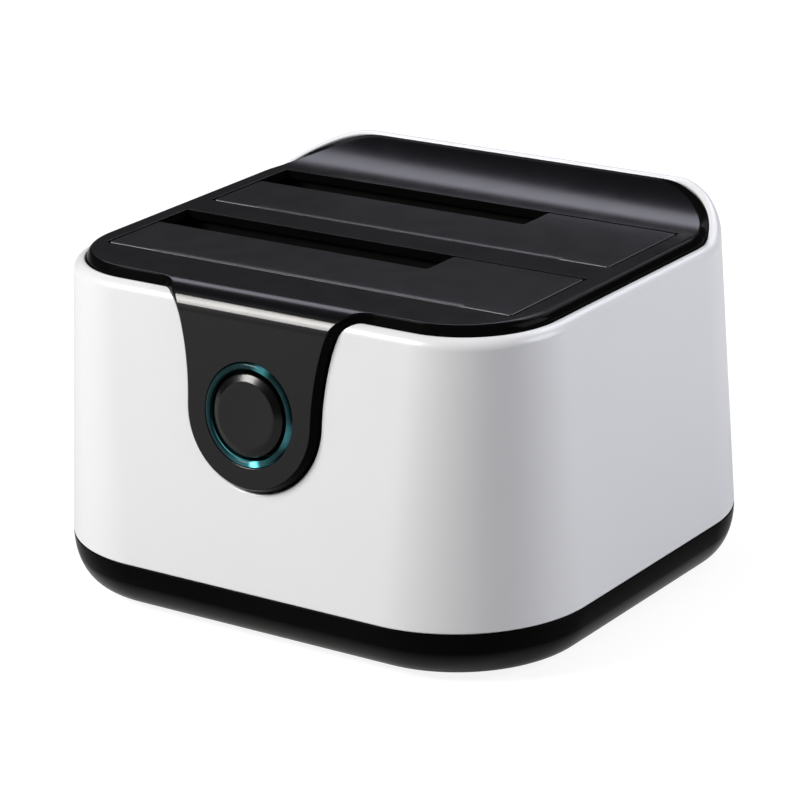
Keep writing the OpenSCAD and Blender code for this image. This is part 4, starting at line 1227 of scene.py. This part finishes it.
class ButtonOperator(bpy.types.Operator):
    """Make the power button and the clear ring around it"""

    bl_idname = "dock.make_button"
    bl_label = "Power button and light ring"

    cap_low = -0.0064
    flat_in = 0.0001
    flange_wide, flange_top = 0.0009, -0.0044
    # The ring's inner wall and shelf below the upper of these heights take a near-black finish, painted shade
    # for the recess.
    dark_top, dark_low = -0.0006, -0.0036
    # Painted highlight: a thin bright emission line along the ring's inner edge, towards the lower left.
    lit_place, lit_reach, lit_strength = (-0.004, -0.0085, 0), 0.0095, 0.75
    # Painted highlights, given as x, y, reach and strength: bright spots at the ring's bottom, top and right, a
    # halo round the bottom one and a faint glow over the whole ring.
    spots = ((0.0020, -0.0102, 0.0019, 2.8), (0.0008, -0.0102, 0.0080, 0.17), (0.0030, 0.0099, 0.0030, 0.30),
             (0.0, 0.0, 0.0200, 0.011), (0.0101, -0.0028, 0.0045, 0.16))

    def pick(self, bm, place, finish):
        """Gives each face the finish that suits its radius and height."""
        back = place.inverted()
        for face in bm.faces:
            at = back @ face.calc_center_median()
            face.material_index = int(finish(at.xy.length, at.z))

    def execute(self, context):
        dock = context.scene.dock
        b = dock.button
        place = Face(dock).frame()
        r, h = b.flat - self.flat_in, b.proud
        profile = [(r * k / 8, h - b.dish * (1 - (k / 8) ** 2)) for k in range(9)]
        for k in range(16):
            slope = b.slope_start * min(1, (k + 1) / 4)
            slope += (b.slope_end - b.slope_start) * ((k + 0.5) / 16) ** 12
            step = (b.cap - b.flat + self.flat_in) / 16
            r, h = r + step, h - step * math.tan(math.radians(slope))
            profile.append((r, h))
        profile += [(b.cap, self.cap_low), (0, self.cap_low)]
        bm = bmesh.new()
        lathe(bm, profile[::-1], place, 120)
        self.pick(bm, place, lambda r, h: r > b.flat + 0.0002)
        bevel = moulded("gloss_black_bevel", dock.colours.gloss, 0.22, 0.10, 900, 0.5e-6, shine=0.30)
        black = moulded("satin_black_button", dock.colours.black, 0.22, 0.10, 3000, 0.8e-6, shine=0.36)
        finish_piece("button_cap", bm, "power_button", [black, bevel], ["power_button"], 50)
        bore, inner, flange = b.ring - b.ring_width, b.ring - b.ring_lens, b.ring + self.flange_wide
        half = b.ring_lens / 2
        middle = b.ring - half
        dome = [(middle + half * math.cos(a), b.ring_crest * math.sin(a))
                for a in (math.pi * k / 16 for k in range(17))]
        bm = bmesh.new()
        profile = [(bore, -b.ring_depth), (flange, -b.ring_depth), (flange, self.flange_top),
                   (b.ring, self.flange_top), *dome, (inner, -b.ring_edge), (inner, self.dark_top),
                   (inner, self.dark_low), (bore, self.dark_low)]
        lathe(bm, profile, place, 120)
        # On the ring's inside, the top band takes the painted highlight and the wall and shelf below take the
        # painted shade.
        near = inner + 0.00001
        self.pick(bm, place, lambda r, h: r < near and (2 * (h > -b.ring_edge) or h < self.dark_top))
        # Emission spots that paint the ring's highlights and glow, and a painted highlight line on its inner
        # edge.
        lit = [(place @ Vector(self.lit_place), self.lit_reach, self.lit_strength)]
        spots = [(place @ Vector((x, y, 0)), reach, strength) for x, y, reach, strength in self.spots]
        teal = clear_teal("clear_teal_ring", dock.colours.teal, spots)
        # Painted shade: a near-black finish for the ring's inner wall and shelf, where the recess lies in
        # shade.
        dark = shade(dock.colours.teal, 0.02)
        dark = moulded("dark_ring_wall", dark, 0.3, 0.10, 900, 0.5e-6, shine=0.1)
        edge = clear_teal("lit_ring_edge", dock.colours.teal, lit)
        finish_piece("ring_lens", bm, "dock", [teal, dark, edge], ["light_ring"], 50)
        return {"FINISHED"}


class SpringsOperator(bpy.types.Operator):
    """Wind both door springs; each one's long leg moves with its door"""

    bl_idname = "dock.make_springs"
    bl_label = "Door springs"

    def execute(self, context):
        dock = context.scene.dock
        d, o, f = dock.deck, dock.doors, dock.fixings
        wire = metal("spring_wire", shade(dock.colours.steel, 0.45), 0.36)
        tree = wire_tree("spring_wires")
        rings = 24
        for k, door in enumerate(("front_door", "rear_door")):
            y, z = d.front_slot + d.pitch * k - o.hinge_back, o.hinge_height

            def coil(start, end):
                return [(f.spring_step * (i / rings - f.spring_turns / 2),
                         y + f.spring_coil * math.cos(-math.pi / 2 - math.tau * i / rings),
                         z + f.spring_coil * math.sin(-math.pi / 2 - math.tau * i / rings))
                        for i in range(start, end + 1)]

            wound = f.spring_turns * rings
            still = [(-f.spring_step * f.spring_turns / 2, y - f.spring_short, z - f.spring_coil)]
            still += coil(0, wound + rings // 4)
            set_out(door + "_spring_coil", tree, still, {"Wire radius": f.spring_wire * 0.97, "Finish": wire},
                    [door + "_spring"], path=True)
            moving = coil(wound, wound + rings // 2)
            moving += [(moving[-1][0], y + f.spring_long * s, z + f.spring_coil) for s in (0.25, 0.5, 0.75, 1)]
            set_out(door + "_spring_leg", tree, moving, {"Wire radius": f.spring_wire, "Finish": wire},
                    [], body=door, path=True)
        return {"FINISHED"}


class FixingsOperator(bpy.types.Operator):
    """Set out the rubber feet, the screws and the socket contacts"""

    bl_idname = "dock.make_fixings"
    bl_label = "Feet, screws and contacts"

    screw_sizes = ("Head radius", "Head height", "Shaft radius", "Shaft length")
    head_high, shaft = 0.0015, 0.00105
    small_head_high, small_shaft, small_long = 0.0007, 0.00078, 0.005

    def execute(self, context):
        dock = context.scene.dock
        b, f, c = dock.base, dock.fixings, dock.colours
        rubber = moulded("foot_rubber_black", (0.02, 0.02, 0.02), 0.8, 0.2, 1800, 2e-5)
        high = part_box("feet")[1].z
        places = [(sx * b.foot_x, sy * b.foot_y, 0) for sx in (-1, 1) for sy in (-1, 1)]
        tree = repeat_tree("rubber_feet", ("Radius", "Height"), foot_piece)
        values = {"Radius": b.foot, "Height": high, "Finish": rubber}
        set_out("feet_pads", tree, places, values, ["feet"])

        zinc = metal("screw_zinc", c.steel, 0.3)
        oxide = metal("screw_black_oxide", (0.05, 0.05, 0.05), 0.4)
        tree = repeat_tree("threaded_screws", self.screw_sizes, screw_piece)

        def screws(node, places, seat, sizes, finish, seed, turn=None):
            values = dict(zip(self.screw_sizes, sizes))
            values.update({"Turn": math.pi / 2, "Seed": seed, "Finish": finish})
            set_out(node + "_set", tree, [(x, y, seat) for x, y in places], values, [node], turn)

        def corners(lo, hi, head):
            return [(x, y) for x in (lo.x + head, hi.x - head) for y in (lo.y + head, hi.y - head)]

        lo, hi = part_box("base_screws")
        seat = lo.z + f.base_head_high
        sizes = (f.base_head, f.base_head_high, f.base_shaft, hi.z - seat)
        screws("base_screws", base_screw_places(b), seat, sizes, oxide, 3)
        lo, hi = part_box("guide_screws")
        sizes = (f.guide_head, self.head_high, self.shaft, hi.z - lo.z - self.head_high)
        places = corners(lo, hi, f.guide_head)
        screws("guide_screws", places, lo.z + self.head_high, sizes, zinc, 5)
        lo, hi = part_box("board_screws")
        sizes = (f.board_head, self.head_high, self.shaft, hi.z - lo.z - self.head_high)
        places = [(x, -y) for x, y in corners(lo, hi, f.board_head)]
        over = Matrix.Rotation(math.pi, 4, "X")
        screws("board_screws", places, self.head_high - hi.z, sizes, zinc, 7, over)
        sizes = (f.small_head, self.small_head_high, self.small_shaft, self.small_long)
        places = [(side * f.small_x, f.small_y) for side in (-1, 1)]
        screws("button_board_screws", places, -f.small_deep, sizes, zinc, 9, Face(dock).frame())

        gold = metal("contact_plate", c.gold, 0.25)
        tree = repeat_tree("contact_strips", ("Width", "Thickness", "Height", "Bow"), contact_piece)
        for node in ("front_socket_contacts", "rear_socket_contacts"):
            lo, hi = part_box(node)
            half, y = f.contact_width / 2, (lo.y + hi.y) / 2
            places = [(lo.x + half + f.contact_pitch * k, y, lo.z) for k in range(15)]
            places += [(hi.x - half - f.contact_pitch * k, y, lo.z) for k in range(7)]
            values = {"Width": f.contact_width, "Thickness": hi.y - lo.y, "Height": hi.z - lo.z,
                      "Bow": f.contact_bow, "Finish": gold}
            set_out(node + "_set", tree, places, values, [node])
        return {"FINISHED"}


class InsideOperator(bpy.types.Operator):
    """Finish the guides, sockets, boards and ports"""

    bl_idname = "dock.finish_inside"
    bl_label = "Guides, boards and ports"

    def execute(self, context):
        dock = context.scene.dock
        c = dock.colours
        dress(["front_bay_guide", "rear_bay_guide"],
              moulded("matt_black_guide", c.gloss, 0.5, 0.15, 2200, 4e-6, shine=0.1))
        dress(["tie_posts"], moulded("matt_black_post", c.black, 0.5, 0.15, 2200, 8e-6))
        dress(["front_drive_socket", "rear_drive_socket", "data_port_insert", "power_jack", "switch_body"],
              moulded("socket_black", (0.012, 0.012, 0.012), 0.42, 0.15, 3500, 6e-6))
        dress(["switch_plunger"], moulded("plunger_red_plastic", (0.35, 0.03, 0.03), 0.45, 0.1, 3000, 4e-6))
        dress(["main_board", "button_board"], board_mask("green_board", c.board))
        dress(["ring_leds"], moulded("clear_lamp", (0.75, 0.75, 0.68), 0.2, 0.08, 3000, 2e-6, 0.5))
        dress(["button_ribbon"], moulded("white_ribbon", (0.62, 0.62, 0.60), 0.5, 0.12, 2500, 6e-6))
        dress(["bridge_chip"], moulded("chip_epoxy", (0.015, 0.015, 0.016), 0.55, 0.2, 4000, 6e-6))
        dress(["power_coil"], moulded("coil_ferrite", (0.07, 0.07, 0.075), 0.6, 0.25, 3500, 9e-6))
        dress(["capacitors"], metal("can_aluminium_shell", (0.70, 0.70, 0.72), 0.3))
        dress(["crystal", "data_port_shell", "power_jack_pin"], metal("nickel_plate", c.steel, 0.25, (1, 8, 8)))
        dress(["front_hinge_pin", "rear_hinge_pin"],
              metal("pin_ground_steel", shade(c.steel, 0.6), 0.3, (0.2, 6, 6)))
        return {"FINISHED"}


class StageOperator(bpy.types.Operator):
    """Set up the camera, the pale floor and the soft lamps"""

    bl_idname = "dock.make_stage"
    bl_label = "Stage"

    floor_seen, floor_unseen, floor_glow = 0.20, 0.45, 0.88
    glossy_share, clear_share = 0.22, 1.0

    def lamp(self, name, azimuth, elevation, size, power, colour=(1, 1, 1), away=0.9):
        """A soft box that looks at the dock; azimuth runs from the front to the right."""
        data = bpy.data.lights.new(name, "AREA")
        data.shape = "RECTANGLE"
        data.size, data.size_y = size
        data.energy = power
        data.color = colour
        obj = put_in(name, data)
        obj.visible_camera = False
        a, e = math.radians(azimuth), math.radians(elevation)
        way = Vector((math.sin(a) * math.cos(e), -math.cos(a) * math.cos(e), math.sin(e)))
        obj.rotation_euler = way.to_track_quat("Z", "Y").to_euler()
        obj.location = way * away + Vector((0, 0, 0.05))

    def execute(self, context):
        dock = context.scene.dock
        scene = context.scene
        scene.view_settings.view_transform = "Standard"
        look = dock.stage
        data = bpy.data.cameras.new("photo_camera")
        data.lens = look.lens
        data.sensor_width = 36
        camera = put_in("photo_camera", data)
        right = Vector((0.82335, 0.56690, -0.02686))
        up = Vector((-0.16661, 0.28668, 0.94342))
        back = Vector((0.54253, -0.77229, 0.33049))
        turn = Matrix((right, up, back)).transposed().to_4x4()
        turn.translation = Vector((0.42285, -0.60274, 0.29527))
        camera.matrix_world = turn
        scene.camera = camera

        bm = bmesh.new()
        bmesh.ops.create_grid(bm, x_segments=1, y_segments=1, size=12)
        mesh = bpy.data.meshes.new("floor")
        bm.to_mesh(mesh)
        bm.free()
        floor = put_in("floor", mesh)
        material, tree, surface = empty_tree("pale_floor")
        path = tree.nodes.new("ShaderNodeLightPath").outputs
        rays = path["Is Camera Ray"]
        for kind, share in (("Is Glossy Ray", self.glossy_share), ("Is Transmission Ray", self.clear_share)):
            rays = add(tree, "ShaderNodeMath", {0: path[kind], 1: share, 2: rays}, operation="MULTIPLY_ADD",
                       use_clamp=True)
        pale = levels(tree, rays, 0, 1, self.floor_unseen, self.floor_seen)
        paint = add(tree, "ShaderNodeBsdfDiffuse", {"Color": pale})
        bright = levels(tree, rays, 0, 1, 0.0, self.floor_glow)
        glow = add(tree, "ShaderNodeEmission", {"Strength": bright})
        tree.links.new(add(tree, "ShaderNodeAddShader", {0: paint, 1: glow}), surface)
        mesh.materials.append(material)

        world = bpy.data.worlds.new("studio")
        scene.world = world
        world.use_nodes = True
        around = world.node_tree.nodes["Background"].inputs
        around["Color"].default_value = (1, 1, 1, 1)
        around["Strength"].default_value = look.ambient
        self.lamp("front_left_lamp", -39, 34, (0.47, 0.46), look.left, (1.0, 0.972, 0.945), 1.4)
        self.lamp("low_left_lamp", -39, 13.5, (0.60, 0.43), look.low, (1.0, 0.99, 0.98))
        self.lamp("right_lamp", 113, 28, (0.60, 0.45), look.right, (0.955, 0.95, 1.0))
        self.lamp("top_lamp", 165, 46, (0.50, 0.40), look.top, (0.95, 0.97, 1.0))
        self.lamp("back_left_lamp", -135, 41, (0.60, 0.24), look.back, (0.87, 0.87, 1.0))
        return {"FINISHED"}


class DockPanel(bpy.types.Panel):
    """Lists the dock's makers and settings"""

    bl_idname = "VIEW3D_PT_drive_dock"
    bl_label = "Drive dock"
    bl_space_type = "VIEW_3D"
    bl_region_type = "UI"
    bl_category = "Drive dock"

    def draw(self, context):
        for operator in OPERATORS:
            self.layout.operator(operator.bl_idname)
        for group in DockSettings.__annotations__:
            held = getattr(context.scene.dock, group)
            box = self.layout.box()
            box.label(text=group.capitalize())
            for key in held.bl_rna.properties.keys():
                if key not in ("rna_type", "name"):
                    box.prop(held, key)


OPERATORS = (StageOperator, SleeveOperator, DeckOperator, DoorsOperator, BaseOperator, ButtonOperator,
             SpringsOperator, FixingsOperator, InsideOperator)
GROUPS = (SleeveSizes, DeckSizes, DoorSizes, ButtonSizes, BaseSizes, FixingSizes, DockColours, StageLook,
          DockSettings)


def register():
    for cls in (*GROUPS, *OPERATORS, DockPanel):
        bpy.utils.register_class(cls)
    bpy.types.Scene.dock = PointerProperty(type=DockSettings)


def unregister():
    del bpy.types.Scene.dock
    for cls in reversed((*GROUPS, *OPERATORS, DockPanel)):
        bpy.utils.unregister_class(cls)


def main():
    register()
    bpy.ops.dock.make_stage()
    bpy.ops.dock.make_sleeve()
    bpy.ops.dock.make_deck()
    bpy.ops.dock.make_doors()
    bpy.ops.dock.make_base()
    bpy.ops.dock.make_button()
    bpy.ops.dock.make_springs()
    bpy.ops.dock.make_fixings()
    bpy.ops.dock.finish_inside()
    bpy.context.view_layer.update()


if __name__ == "__main__":
    main()
